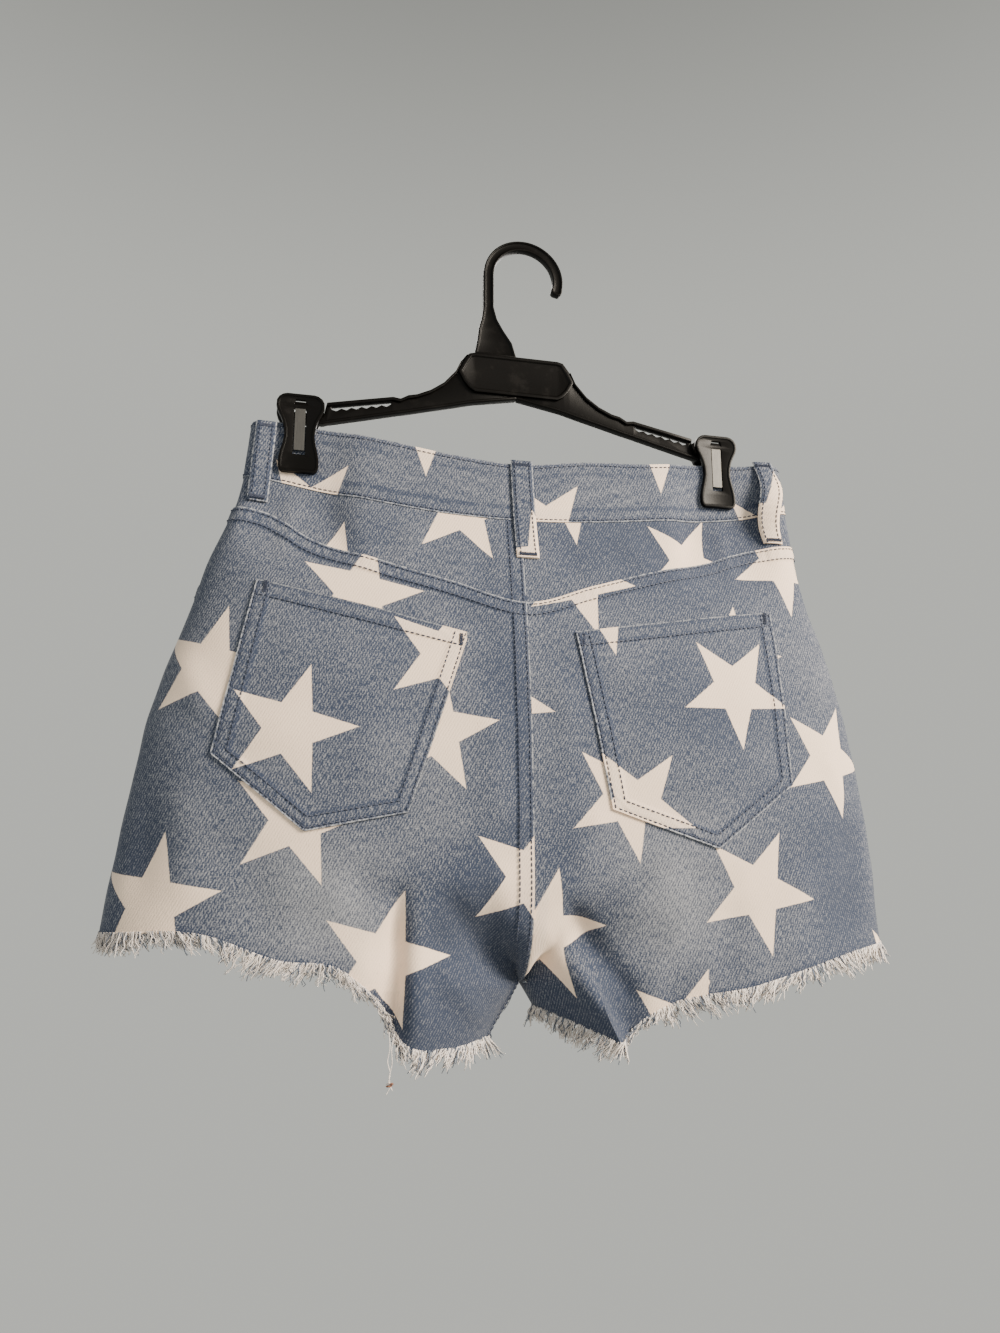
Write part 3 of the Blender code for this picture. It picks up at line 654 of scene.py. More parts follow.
# %% Node helper
class Finish:
    """A material and short ways to add its nodes."""

    def __init__(self, name, colour, roughness, metallic=0.0, sheen=0.0):
        self.material = bpy.data.materials.new(name)
        self.material.use_nodes = True
        self.tree = self.material.node_tree
        self.shader = self.tree.nodes["Principled BSDF"]
        self.feed("Base Color", (*colour, 1))
        self.feed("Roughness", roughness)
        self.feed("Metallic", metallic)
        self.feed("Sheen Weight", sheen)

    def feed(self, name, value, node=None):
        socket = (node or self.shader).inputs[name]
        if isinstance(value, bpy.types.NodeSocket):
            self.tree.links.new(value, socket)
        else:
            socket.default_value = value

    def node(self, kind, inputs=None, **settings):
        made = self.tree.nodes.new("ShaderNode" + kind)
        for key, value in settings.items():
            setattr(made, key, value)
        for key, value in (inputs or {}).items():
            self.feed(key, value, made)
        return made

    def math(self, operation, a, b=0.0, c=0.0):
        return self.node("Math", {0: a, 1: b, 2: c}, operation=operation).outputs[0]

    def span(self, value, low, high, to_low=0.0, to_high=1.0):
        """A smooth step from to_low to to_high as value goes from low to high."""
        return self.node("MapRange", {"Value": value, "From Min": low, "From Max": high,
                                      "To Min": to_low, "To Max": to_high},
                         interpolation_type="SMOOTHSTEP").outputs["Result"]

    def mix(self, share, a, b):
        a, b = ((*c, 1) if isinstance(c, tuple) else c for c in (a, b))
        return self.node("Mix", {0: share, 6: a, 7: b}, data_type="RGBA").outputs[2]

    def noise(self, vector, size, detail=2.0, roughness=0.5):
        """Noise whose features are about this big: one size, or one for each axis."""
        sizes = size if isinstance(size, tuple) else (size,) * 3
        scaled = self.node("VectorMath", {0: vector, 1: [1 / v for v in sizes]},
                           operation="MULTIPLY").outputs[0]
        return self.node("TexNoise", {"Vector": scaled, "Scale": 1.0, "Detail": detail,
                                      "Roughness": roughness}).outputs["Fac"]

    def attribute(self, name):
        return self.node("Attribute", attribute_name=name)

    def bump(self, height, distance, strength=1.0):
        made = self.node("Bump", {"Height": height, "Distance": distance, "Strength": strength})
        self.feed("Normal", made.outputs["Normal"])


print("the helper feeds numbers straight to a shader's sockets, or links them")

# %% Denim outside and inside
DEEP_BLUE, GRAIN_PALE = (0.024, 0.036, 0.070), (0.380, 0.380, 0.395)
DARK_BLUE, PALE_BLUE = (0.026, 0.040, 0.078), (0.262, 0.272, 0.300)
PRINT_CREAM, PRINT_SOILED = (0.980, 0.765, 0.585), (0.62, 0.56, 0.52)
WORN_WHITE = (0.520, 0.530, 0.545)
INSIDE_DARK, INSIDE_PALE = (0.210, 0.260, 0.330), (0.560, 0.590, 0.620)
THREAD_MM, SLUB_MM, RIB_MM = 0.68, 3.6, 1.6
# How strongly each thing lightens or darkens the blue
RIB_TONE, CLOUD_TONE, FADE_AND_SHADE_TONE = 0.13, 0.5, 0.36
ROPE_TONE, WELT_TONE, ROW_DYE_AND_SHADE_TONE = 0.13, 0.06, 0.50


def twill(finish):
    """(speckle, rib, long threads, cloth vector) of the weave on the flat cloth."""
    flat = finish.node("UVMap", uv_map="cloth").outputs["UV"]
    thread, slub = THREAD_MM * MM, SLUB_MM * MM
    up = finish.noise(flat, (thread, slub, 1.0), 2.0)
    across = finish.noise(flat, (slub / 2, thread, 1.0), 1.0)
    fine = finish.noise(flat, (thread, thread * 1.4, 1.0), 2.0, 0.6)
    parts = finish.node("SeparateXYZ", {0: flat})
    u = finish.math("MULTIPLY", parts.outputs["X"], 2 * math.pi * 0.86 / (RIB_MM * MM))
    v = finish.math("MULTIPLY", parts.outputs["Y"], -2 * math.pi * 0.50 / (RIB_MM * MM))
    phase = finish.math("ADD", finish.math("ADD", u, v), finish.math("MULTIPLY", fine, 5.0))
    rib = finish.math("SINE", phase)
    speckle = finish.math("ADD", finish.math("MULTIPLY", up, 0.55), finish.math("MULTIPLY", fine, 0.5))
    speckle = finish.math("ADD", speckle, finish.math("MULTIPLY", across, 0.25))
    return speckle, rib, up, flat


def star_mask(finish, flat):
    """1 inside a printed star, 0 outside, with an edge as rough as the threads."""
    local = finish.node("SeparateXYZ", {0: finish.attribute("star").outputs["Vector"]})
    x, y = local.outputs["X"], local.outputs["Y"]
    half = math.radians(36)
    turn = finish.math("WRAP", finish.math("ARCTAN2", y, x), half, -half)
    turn = finish.math("ABSOLUTE", turn)
    r = finish.math("SQRT", finish.math("ADD", finish.math("MULTIPLY", x, x),
                                        finish.math("MULTIPLY", y, y)))
    across, along = STAR_NOTCH * math.sin(half), 1 - STAR_NOTCH * math.cos(half)
    reach = finish.math("ADD", finish.math("MULTIPLY", finish.math("COSINE", turn), across),
                        finish.math("MULTIPLY", finish.math("SINE", turn), along))
    inside = finish.math("SUBTRACT", across, finish.math("MULTIPLY", r, reach))
    rough = finish.noise(flat, 1.1 * MM, 1.0)
    inside = finish.math("ADD", inside, finish.math("MULTIPLY_ADD", rough, 0.014, -0.007))
    return finish.span(inside, -0.004, 0.005)


def stripe(finish, value, rise_mm, fall_mm):
    """1 between two smooth steps of a distance, 0 outside them."""
    rise, fall = (np.array(ends) * MM for ends in (rise_mm, fall_mm))
    return finish.math("MULTIPLY", finish.span(value, *rise), finish.span(value, *fall, 1.0, 0.0))


def seam_wear(finish, flat):
    """(tone to add, worn edge, welt mask): a seam is roped, white at its edge, and dark at its rows,
    partly kept dye and partly painted shade in the stitch channels.
    """
    seam = finish.node("SeparateXYZ", {0: finish.attribute("seam").outputs["Vector"]})
    distance, run, strength = (seam.outputs[k] for k in "XYZ")
    on_welt = stripe(finish, distance, (1.2, 3.2), (7.2, 9.6))
    first_row = stripe(finish, distance, (0.5, 1.2), (2.2, 3.4))
    second_row = stripe(finish, distance, (6.9, 8.3), (9.4, 11.4))
    rows = finish.math("MAXIMUM", first_row, second_row)
    wander = finish.noise(flat, 9 * MM, 1.0)
    phase = finish.math("MULTIPLY_ADD", run, 2 * math.pi / RIPPLE_PITCH,
                        finish.math("MULTIPLY", wander, 14.0))
    rope = finish.math("MULTIPLY_ADD", finish.math("SINE", phase), ROPE_TONE, -WELT_TONE)
    tone = finish.math("MULTIPLY", rope, on_welt)
    # The stitch rows are darkened: kept dye, and painted shade in the channels the stitches pull down
    tone = finish.math("SUBTRACT", tone, finish.math("MULTIPLY", rows, ROW_DYE_AND_SHADE_TONE))
    edge = finish.span(distance, 0.2 * MM, 1.1 * MM, 1.0, 0.0)
    chipped = finish.span(finish.noise(flat, 2.4 * MM, 2.0), 0.38, 0.60)
    edge = finish.math("MULTIPLY", finish.math("MULTIPLY", edge, chipped), strength)
    return finish.math("MULTIPLY", tone, strength), edge, on_welt


def denim_outside():
    finish = Finish("denim_outside", PALE_BLUE, 0.9, sheen=0.12)
    speckle, rib, up, flat = twill(finish)
    cloud = finish.noise(flat, 34 * MM, 3.0, 0.6)
    fade_and_shade = finish.attribute("fade_and_shade").outputs["Fac"]
    seam_tone, edge, on_welt = seam_wear(finish, flat)
    tone = finish.math("MULTIPLY_ADD", speckle, 3.0, -1.69)
    for part, weight in ((rib, RIB_TONE), (cloud, CLOUD_TONE), (fade_and_shade, FADE_AND_SHADE_TONE), (seam_tone, 1.0)):
        tone = finish.math("MULTIPLY_ADD", part, weight, tone)
    tone = finish.math("SUBTRACT", tone, CLOUD_TONE / 2)
    tone = finish.math("MINIMUM", finish.math("MAXIMUM", tone, 0.0), 1.0)
    blue = finish.mix(tone, DARK_BLUE, PALE_BLUE)
    # Below 0 the blue darkens towards deep blue: kept dye, and painted shade beside the crotch and in
    # crease hollows
    blue = finish.mix(finish.span(fade_and_shade, -2.0, -0.15, 0.7, 0.0), blue, DEEP_BLUE)
    # The grain goes on after the fading and painted shade, so that dark cloth keeps its weave
    grain = finish.math("MULTIPLY_ADD", rib, 0.09, speckle)
    blue = finish.mix(finish.span(grain, 0.48, 0.74, 0.55, 0.0), blue, DEEP_BLUE)
    blue = finish.mix(finish.span(grain, 0.62, 0.88, 0.0, 0.35), blue, GRAIN_PALE)
    blue = finish.mix(finish.math("MULTIPLY", edge, 0.7), blue, WORN_WHITE)
    cover = finish.math("MULTIPLY", star_mask(finish, flat), finish.span(up, 0.20, 0.42, 0.80, 0.97))
    cream = finish.mix(finish.math("MULTIPLY", on_welt, 0.18), PRINT_CREAM, PRINT_SOILED)
    finish.feed("Base Color", finish.mix(cover, blue, cream))
    height = finish.math("ADD", finish.math("MULTIPLY", rib, 0.25), speckle)
    finish.bump(height, 0.35 * MM, 0.55)
    return finish.material


def denim_inside():
    finish = Finish("denim_inside", INSIDE_PALE, 0.92, sheen=0.12)
    speckle, rib, up, flat = twill(finish)
    tone = finish.math("MULTIPLY_ADD", speckle, 1.5, -0.5)
    tone = finish.math("ADD", tone, finish.math("MULTIPLY", rib, -0.1))
    finish.feed("Base Color", finish.mix(tone, INSIDE_DARK, INSIDE_PALE))
    finish.bump(speckle, 0.3 * MM, 0.5)
    return finish.material


OUTSIDE, INSIDE = denim_outside(), denim_inside()
print("ribs every", RIB_MM, "mm, threads", THREAD_MM, "mm apart")

# %% [markdown]
# ## Fading and painted shade
#
# Washing and wear bleach denim unevenly. The seat and the fronts of the thighs are palest, and the
# cloth next to the crotch keeps its blue. The same number also carries painted shade: beside the
# crotch the inner legs are darkened further where they turn away from the light, and the tops of
# creases are paler and their hollows darker, partly rubbed wear and partly painted shade. The
# amount is stored on the vertices, because it follows the garment's form.

# %% Where the cloth is faded
# Middle (x, z), reach in x and z in mm, and amount: above 0 is paler, below 0 darker; the strong dark
# patches beside the crotch are partly kept blue and partly painted shade
FADES_AND_SHADES_MM = {
    # The patch at (-44, -488) is painted shade on the inner leg that turns away from the light, partly
    # kept dye
    (LEFT, SEAT): [(-128, -446, 46, 34, 1.65), (-66, -385, 26, 50, 0.6), (-44, -488, 40, 56, -3.0),
                   (-66, -508, 20, 22, -0.35), (-16, -460, 14, 40, -0.35), (-110, -330, 46, 36, -0.4),
                   (-210, -400, 24, 60, -0.15), (-90, -225, 70, 22, -0.3),
                   (-100, -168, 60, 10, 0.25), (-14, -330, 26, 90, -0.9),
                   (-225, -440, 22, 60, -0.5)],
    (RIGHT, SEAT): [(80, -440, 36, 40, 1.45), (110, -330, 50, 50, -0.75), (22, -330, 20, 60, -0.5),
                    (14, -440, 16, 50, -0.6), (36, -508, 34, 24, -1.5), (120, -480, 40, 24, 0.25),
                    (200, -430, 46, 70, -1.1), (100, -218, 80, 34, -1.5), (90, -160, 60, 10, -0.5),
                    (110, -400, 50, 20, 0.2)],
    (LEFT, FRONT): [(-110, -400, 50, 70, 0.8), (-20, -470, 20, 30, -0.6), (-210, -420, 24, 60, -0.2)],
    (RIGHT, FRONT): [(100, -400, 50, 70, 0.8), (12, -470, 20, 30, -0.6), (205, -420, 24, 60, -0.2)],
}


def fade_and_shade_at(side, face, x, z):
    # Paler on crease tops and darker in their hollows: partly rubbed wear, partly painted shade
    fade_and_shade = 220 * crease_height(side, face, x, z)
    for row in FADES_AND_SHADES_MM[side, face]:
        x0, z0, reach_x, reach_z = np.array(row[:4]) * MM
        fade_and_shade = fade_and_shade + row[4] * np.exp(-((x - x0) / reach_x) ** 2 - ((z - z0) / reach_z) ** 2)
    return fade_and_shade


print(sum(len(rows) for rows in FADES_AND_SHADES_MM.values()), "soft patches")

# %% [markdown]
# ## The leg panels and the yoke
#
# Two seat panels, two front panels and the V-shaped yoke between the seat and the waistband
# make the body of the shorts. At each seam one panel laps over the next: the left seat over the
# right, and the seat panels over the yoke. The lapping side is raised into a welt, because the
# seam allowance is folded under it, and the tight stitching ropes it.

# %% Seat panels
EDGE_MM = [0, 0.8, 1.8, 3.2, 5, 7.5, 10]
HEM_MM = [0, 0.7, 1.6, 3.0, 5.0]
HEM_DARK, HEM_DARK_REACH = 1.5, 2.4 * MM
lines_to_sew = {"seat": [], "front": [], "pockets": [], "waistband": [], "loops": []}
grids, sewn = {}, []


def line_of(name):
    return lambda x, s, whole: level(name, x)


def hem_of(side, face):
    return lambda x, s, whole: hem_z(side, face, x)


def panel(name, grid, seam, rests_on):
    """The piece for a finished grid, printed and faded."""
    fade_and_shade = fade_and_shade_at(grid.side, grid.face, grid.points[..., 0], grid.z)
    if "pocket" not in name and "yoke" not in name:
        fade_and_shade = fade_and_shade - HEM_DARK * np.exp(-(grid.to_bottom / HEM_DARK_REACH) ** 2)
    stars = flat_stars(name, grid.side, grid.face)
    piece = cloth(name + "_cloth", grid.points, grid.normals, grid.flat, seam, fade_and_shade, stars)
    sewn.append((piece, grid.flat, name, rests_on))
    grids[name] = grid


for side, hand in ((LEFT, "left"), (RIGHT, "right")):
    grid = Grid(side, SEAT, (NEAR_MM, EDGE_MM), (NEAR_MM, HEM_MM), line_of("yoke"),
                hem_of(side, SEAT), middle=(98, 104))
    grid.crease()
    laps = welt(grid.to_in) if side == LEFT else 0 * grid.s
    height = np.maximum(laps, welt(grid.to_top)) + pucker(grid.to_top, grid.s)
    height += pucker(grid.to_in, grid.z) * (1 if side == LEFT else 0.25)
    height += 0.35 * MM * np.exp(-(grid.to_out / (2 * MM)) ** 2)
    grid.raise_by(height)
    seam = nearest_seam((grid.to_in, grid.z, 1.0 if side == LEFT else 0.0),
                        (grid.to_top, grid.s, 1.0),
                        (grid.to_out, grid.z, 0.25))
    panel(f"back_{hand}", grid, seam, ["waistband"])
    lines_to_sew["seat"] += [grid.row(1.7 * MM), grid.row(8.8 * MM)]
    if side == LEFT:
        lines_to_sew["seat"] += [grid.column(1.8 * MM), grid.column(8.8 * MM)]
print("back panels:", len(lines_to_sew["seat"]), "rows to sew")

# %% Yoke
for side, hand in ((LEFT, "left"), (RIGHT, "right")):
    grid = Grid(side, SEAT, (EDGE_MM, EDGE_MM), (EDGE_MM, EDGE_MM), line_of("waist"),
                line_of("yoke"), middle=(96, 16))
    grid.crease()
    laps = welt(grid.to_in) * 0.6 if side == LEFT else 0 * grid.s
    grid.raise_by(laps + 0.3 * pucker(grid.to_bottom, grid.s))
    seam = nearest_seam((grid.to_in, grid.z, 0.8 if side == LEFT else 0.0),
                        (grid.to_out, grid.z, 0.25))
    panel(f"yoke_{hand}", grid, seam, ["waistband"])
    if side == LEFT:
        lines_to_sew["seat"] += [grid.column(1.8 * MM), grid.column(8.8 * MM)]
print("with the yoke:", len(lines_to_sew["seat"]), "rows")

# %% [markdown]
# ## The hidden front
#
# The front has only what it must: two panels with a curved pocket mouth each, the pocket facing
# under the mouth, the fly's curved stitching, and a button. Its creases are like the seat's.

# %% Front panels and pocket facings
SCOOP_FROM, SCOOP_DEPTH, POCKET_UNDERLAP = 0.52, 72 * MM, 9 * MM


def scoop(x, s, whole):
    """The waist seam, then the curved pocket mouth down to the outseam."""
    round_part = np.clip((1 - s / whole) / (1 - SCOOP_FROM), 0, 1)
    return level("waist", x) - SCOOP_DEPTH * np.sqrt(np.clip(1 - round_part**2, 0, 1)) ** 1.1


def under_scoop(x, s, whole):
    return scoop(x, s, whole) - POCKET_UNDERLAP


for side, hand in ((LEFT, "left"), (RIGHT, "right")):
    grid = Grid(side, FRONT, (NEAR_MM[:-3], EDGE_MM), (NEAR_MM, HEM_MM), scoop,
                hem_of(side, FRONT), middle=(64, 54))
    grid.crease()
    laps = welt(grid.to_in) if side == LEFT else 0 * grid.s
    mouth = smooth((grid.s / (grid.s + grid.to_out) - SCOOP_FROM + 0.02) / 0.04)
    laps = np.maximum(laps, 0.5 * welt(grid.to_top) * mouth)
    grid.raise_by(laps + pucker(grid.to_top, grid.s) * mouth)
    seam = nearest_seam((grid.to_in, grid.z, 0.9 if side == LEFT else 0.0),
                        (grid.to_top, grid.s, mouth), (grid.to_out, grid.z, 0.25))
    panel(f"front_{hand}", grid, seam, ["waistband"])
    if side == LEFT:
        lines_to_sew["front"] += [grid.column(1.8 * MM), grid.column(7.0 * MM)]
    start = int(np.argmax(mouth[0] > 0.4))
    for row in (grid.row(1.7 * MM), grid.row(7.5 * MM)):
        lines_to_sew["front"].append([part[start:] for part in row])
    grid = Grid(side, FRONT, ([0, 2], EDGE_MM), ([0, 2], [0, 2]), line_of("waist"), under_scoop,
                middle=(34, 26), start=SCOOP_FROM)
    grid.crease()
    grid.raise_by(-1.5 * MM * np.ones_like(grid.s))
    seam = np.zeros((*grid.s.shape, 3)) + (0.1, 0, 0)
    panel(f"pocket_facing_{hand}", grid, seam, [f"front_{hand}_cloth"])
print("front panels lap left over right")

# %% [markdown]
# ## The waistband
#
# The band is one doubled strip that runs right round and overlaps itself at the front under the
# button. Four grids, one for each quarter, are set end to end, and the strip's under end goes
# on behind the other. It stands a little proud of the panels that are sewn up into it.

# %% Waistband
BAND_WALL, BAND_PROUD, UNDERLAP = 2.2 * MM, 0.6 * MM, 2.9 * MM
BAND_ROWS_MM = [0, 0.5, 1.2, 2.4, 3.6, 5]
BAND_MIDDLE_Z = -180 * MM
# The under end has this many columns, and goes under in the last few before it. Its flat cloth
# is set far to one side, clear of every star.
UNDER_COLUMNS, GOING_UNDER, UNDER_APART = 16, 9, 1.1
BAND_PARTS = ("points", "z", "s", "to_top", "to_bottom", "flat")


def band_across(side, face, s, z):
    """How far round the band a place is from the centre back."""
    if face == FRONT:
        s = reach_of(side, SEAT, z) + reach_of(side, FRONT, z) - s
    return side * s


def quarter_of_band(side, face):
    grid = Grid(side, face, ([0, 3, 7, 12], [0, 1.2, 2.4, 3.6, 5, 6.5, 8, 10, 12]),
                (BAND_ROWS_MM, BAND_ROWS_MM), line_of("top"), line_of("waist"), middle=(46, 12))
    grid.flat[..., 0] = band_across(side, face, grid.s, grid.z)
    return grid


def end_to_end(parts):
    """One long grid from several, each turned round or not."""
    strip = parts[0][0]
    for name in BAND_PARTS:
        pieces = [getattr(g, name)[:, ::-1 if back else 1] for g, back in parts]
        setattr(strip, name, np.concatenate([pieces[0]] + [p[:, 1:] for p in pieces[1:]], axis=1))
    strip.face = None
    strip.normals = grid_normals(strip.points)
    return strip


quarters = {(side, face): quarter_of_band(side, face)
            for side in (LEFT, RIGHT) for face in (SEAT, FRONT)}
under_end = quarter_of_band(LEFT, FRONT)
for name in BAND_PARTS:
    setattr(under_end, name, getattr(under_end, name)[:, :UNDER_COLUMNS])
under_end.flat = under_end.flat + np.array([UNDER_APART, 0])
band = end_to_end([(quarters[LEFT, FRONT], False), (quarters[LEFT, SEAT], True),
                   (quarters[RIGHT, SEAT], False), (quarters[RIGHT, FRONT], True),
                   (under_end, False)])
count = band.s.shape[1]
going_under = smooth((np.arange(count) - (count - UNDER_COLUMNS - GOING_UNDER)) / GOING_UNDER)
round_edge = 0.5 * MM * (1 - smooth(band.to_top / (1.4 * MM)))
height = BAND_PROUD + 0.10 * MM * np.sin(band.s * 900 + 2 * np.sin(band.s * 170)) * smooth(
    (24 * MM - band.to_bottom) / (8 * MM))
height = height - round_edge - 0.25 * MM * np.exp(-(((band.to_bottom - 1.6 * MM) / MM) ** 2))
band.raise_by(height - UNDERLAP * going_under[None, :])
shown = slice(0, count - UNDER_COLUMNS)
seam = nearest_seam((band.to_bottom, band.flat[..., 0], 0.75 + 0 * band.s),
                    (band.to_top, band.flat[..., 0], 0.35 + 0 * band.s))
stars = []
for name, face in (("waistband_seat", SEAT), ("waistband_front", FRONT)):
    for x, z, turn in STARS_MM[name]:
        side = LEFT if x * MM < CENTRE_X else RIGHT
        s = at_x(face, x * MM, BAND_MIDDLE_Z)[3]
        stars.append((band_across(side, face, s, BAND_MIDDLE_Z), z * MM, turn))
fade_and_shade = np.where(band.points[..., 1] < 0, fade_and_shade_at(LEFT, SEAT, band.points[..., 0], band.z),
                fade_and_shade_at(LEFT, FRONT, band.points[..., 0], band.z)) * 0.5
fade_and_shade += 0.18 * np.sin(band.z * 1900 + 1.5 * np.sin(band.s * 40)) * smooth(np.sin(band.s * 23) + 0.4)
piece = cloth("waistband_cloth", band.points, band.normals, band.flat, seam, fade_and_shade, stars, BAND_WALL)
sewn.append((piece, band.flat[:, shown], "waistband", ["clip_left_seat_jaw", "clip_right_seat_jaw"]))
for distance, bottom in ((2.6 * MM, False), (1.7 * MM, True)):
    lines_to_sew["waistband"].append([part[shown] for part in band.row(distance, bottom)])
print("the band is", round(np.ptp(band.flat[:, shown, 0]) / MM), "mm round")

# %% [markdown]
# ## Pieces sewn on
#
# The back pockets and the belt loops lie on the panels. Each is a patch between corners that
# are given in the plane of the seat, laid onto the surface and lifted off it by its thickness.
# Its edges are turned under and double-stitched, and wear shows there first.

# %% Patches
POCKETS_MM = {
    "back_pocket_left": (LEFT, [(-170, -258), (-43, -287), (-79, -396), (-137, -407), (-190, -364)]),
    "back_pocket_right": (RIGHT, [(25, -283), (164, -260), (165, -376), (111, -416), (43, -393)]),
}
LOOPS = ("face", "x_top", "z_top", "x_bottom", "z_bottom", "width", "stand_off", "sway")
LOOPS_MM = {
    "belt_loop_back": (SEAT, -4.5, -163, -2.5, -233, 15, 0.4, 0),
    "belt_loop_back_left": (SEAT, -169.5, -149, -173, -203, 12.5, 0.6, 0),
    "belt_loop_back_right": (SEAT, 172, -146, 176, -207, 13.5, 6.5, 2.2),
    "belt_loop_front_left": (FRONT, -94, -154, -96, -208, 14, 0.6, 0),
    "belt_loop_front_right": (FRONT, 84, -154, 86, -206, 14, 0.6, 0),
}
POCKET_EDGE_MM = [0, 0.7, 1.4, 2.2, 3.2, 4.6, 6, 7.2, 8.2, 9.2, 10.2, 11.4]
LOOP_EDGE_MM = [0, 0.6, 1.3, 2.1, 2.9, 3.7]


def surface(face, x, z):
    """Points, normals and flat places of the creased seat or front at x and z."""
    found = at_x(face, x, z)
    normals = grid_normals(found[..., :3], face)
    left = x < CENTRE_X
    height = np.where(left, crease_height(LEFT, face, x, z), crease_height(RIGHT, face, x, z))
    across = np.where(left, flat_across(LEFT, face, found[..., 3], z),
                      flat_across(RIGHT, face, found[..., 3], z))
    flat = np.stack([across, z], axis=-1)
    return found[..., :3] + normals * height[..., None], normals, flat


class Patch(Grid):
    """A piece sewn on: outline(across, down) gives its (x, z) for shares from 0 to 1."""

    def __init__(self, face, edge_mm, middle, outline):
        self.face = face
        near = np.array(edge_mm) * MM
        self.near_in = self.near_out = self.near_top = self.near_bottom = near
        constant, share = self.lines(near, near, middle[0])
        down_constant, down_share = self.lines(near, near, middle[1])

        def apart(one, other):
            return np.hypot(*(one - other).T).T

        middle_width = apart(outline(0.0, 0.5), outline(1.0, 0.5))
        first = (constant + share * middle_width) / middle_width
        tall = apart(outline(first, 0 * first), outline(first, 0 * first + 1))[None, :]
        down = (down_constant[:, None] + down_share[:, None] * tall) / tall
        wide = apart(outline(0 * down, down), outline(0 * down + 1, down))
        across = (constant + share * wide) / wide
        xz = outline(across, down)
        self.x, self.z = xz[..., 0], xz[..., 1]
        self.across, self.down = across, down
        self.points, self.normals, self.flat = surface(face, self.x, self.z)
        self.to_in, self.to_out = across * wide, (1 - across) * wide
        self.to_top, self.to_bottom = down * tall, (1 - down) * tall


def pocket_outline(corners):
    top_left, top_right, low_right, tip, low_left = np.array(corners) * MM

    def outline(across, down):
        a, d = (np.asarray(v, float)[..., None] for v in (across, down))
        bottom = np.where(a < 0.5, low_left + (tip - low_left) * a * 2,
                          tip + (low_right - tip) * (a * 2 - 1))
        return (top_left + (top_right - top_left) * a) * (1 - d) + bottom * d
    return outline


def loop_outline(size):
    def outline(across, down):
        a, d = (np.asarray(v, float) for v in (across, down))
        x = size["x_top"] + (size["x_bottom"] - size["x_top"]) * d + (a - 0.5) * size["width"]
        x = x + size["sway"] * np.sin(2 * math.pi * d)
        z = size["z_top"] + (size["z_bottom"] - size["z_top"]) * d
        return np.stack([x * MM, (z + 0 * x) * MM], axis=-1)
    return outline


def patch_piece(name, patch, seam, stars, rests_on, thick=WALL):
    """The piece for a finished patch, printed and faded."""
    fade_and_shade = np.where(patch.x < CENTRE_X, fade_and_shade_at(LEFT, patch.face, patch.x, patch.z),
                    fade_and_shade_at(RIGHT, patch.face, patch.x, patch.z))
    piece = cloth(name + "_cloth", patch.points, patch.normals, patch.flat, seam, fade_and_shade, stars, thick)
    sewn.append((piece, patch.flat, name, rests_on))


print(len(POCKETS_MM), "pockets and", len(LOOPS_MM), "loops to lay on")

# %% Back pockets
for name, (side, corners) in POCKETS_MM.items():
    patch = Patch(SEAT, POCKET_EDGE_MM, (48, 48), pocket_outline(corners))
    nearest = np.minimum(np.minimum(patch.to_in, patch.to_out),
                         np.minimum(patch.to_top, patch.to_bottom))
    height = 1.4 * MM + 0.9 * MM * smooth((nearest - 9 * MM) / (30 * MM))
    height = height - 0.45 * MM * smooth((nearest - 9 * MM) / (1.6 * MM))
    slack = smooth((14 * MM - patch.to_top) / (14 * MM)) * np.sin(patch.across * math.pi) ** 2
    height += 0.9 * MM * slack + pucker(nearest, patch.x + patch.z, height=0.16 * MM)
    height -= 0.3 * MM * np.exp(-((nearest - 1.6 * MM) / (0.8 * MM)) ** 2)
    patch.raise_by(height)
    seam = nearest_seam((patch.to_in, patch.z, 1.0), (patch.to_out, patch.z, 1.0),
                        (patch.to_bottom, patch.x, 1.0), (patch.to_top, patch.x, 0.6))
    patch_piece(name, patch, seam, flat_stars(name, side, SEAT),
                [name.replace("pocket_", "") + "_cloth"])
    rows = lines_to_sew["pockets"]
    for distance in (1.7 * MM, 8.2 * MM):
        inset = int(np.searchsorted(patch.near_top, distance))
        for outer in (False, True):
            rows.append([line[:-inset or None] for line in patch.column(distance, outer)])
        rows.append([line[inset:-inset] for line in patch.row(distance, True)])
    rows.append(patch.row(9.5 * MM))
print("pockets:", len(lines_to_sew["pockets"]), "rows to sew")

# %% Belt loops
LOOP_WALL = 1.6 * MM
LOOP_STARS_MM = {"belt_loop_back": [(9, -236, 30)], "belt_loop_back_right": [(180, -192, 20)],
                 "belt_loop_back_left": [], "belt_loop_front_left": [(-92, -222, 10)],
                 "belt_loop_front_right": []}
for name, row in LOOPS_MM.items():
    size = dict(zip(LOOPS, row))
    patch = Patch(size["face"], LOOP_EDGE_MM, (3, 34), loop_outline(size))
    off = size["stand_off"] * MM * np.sin(patch.down * math.pi) ** 2
    edge = np.minimum(patch.to_in, patch.to_out)
    height = BAND_PROUD + 1.9 * MM + off - 0.7 * MM * (1 - smooth(edge / (1.5 * MM)))
    height -= 0.6 * MM * smooth((3 * MM - patch.to_bottom) / (3 * MM))
    height += 0.12 * MM * np.sin(patch.z / (2.4 * MM) * math.pi)
    patch.raise_by(height)
    seam = nearest_seam((patch.to_in, patch.z, 1.0), (patch.to_out, patch.z, 1.0),
                        (patch.to_bottom, patch.x, 0.8))
    stars = [(flat_place(LEFT if x * MM < CENTRE_X else RIGHT, size["face"], x * MM, z * MM),
              z * MM, turn) for x, z, turn in LOOP_STARS_MM[name]]
    patch_piece(name, patch, seam, stars, ["waistband_cloth"], LOOP_WALL)
    lines_to_sew["loops"] += [patch.column(2.6 * MM), patch.column(2.6 * MM, True)]
print("loops:", len(lines_to_sew["loops"]), "rows to sew")

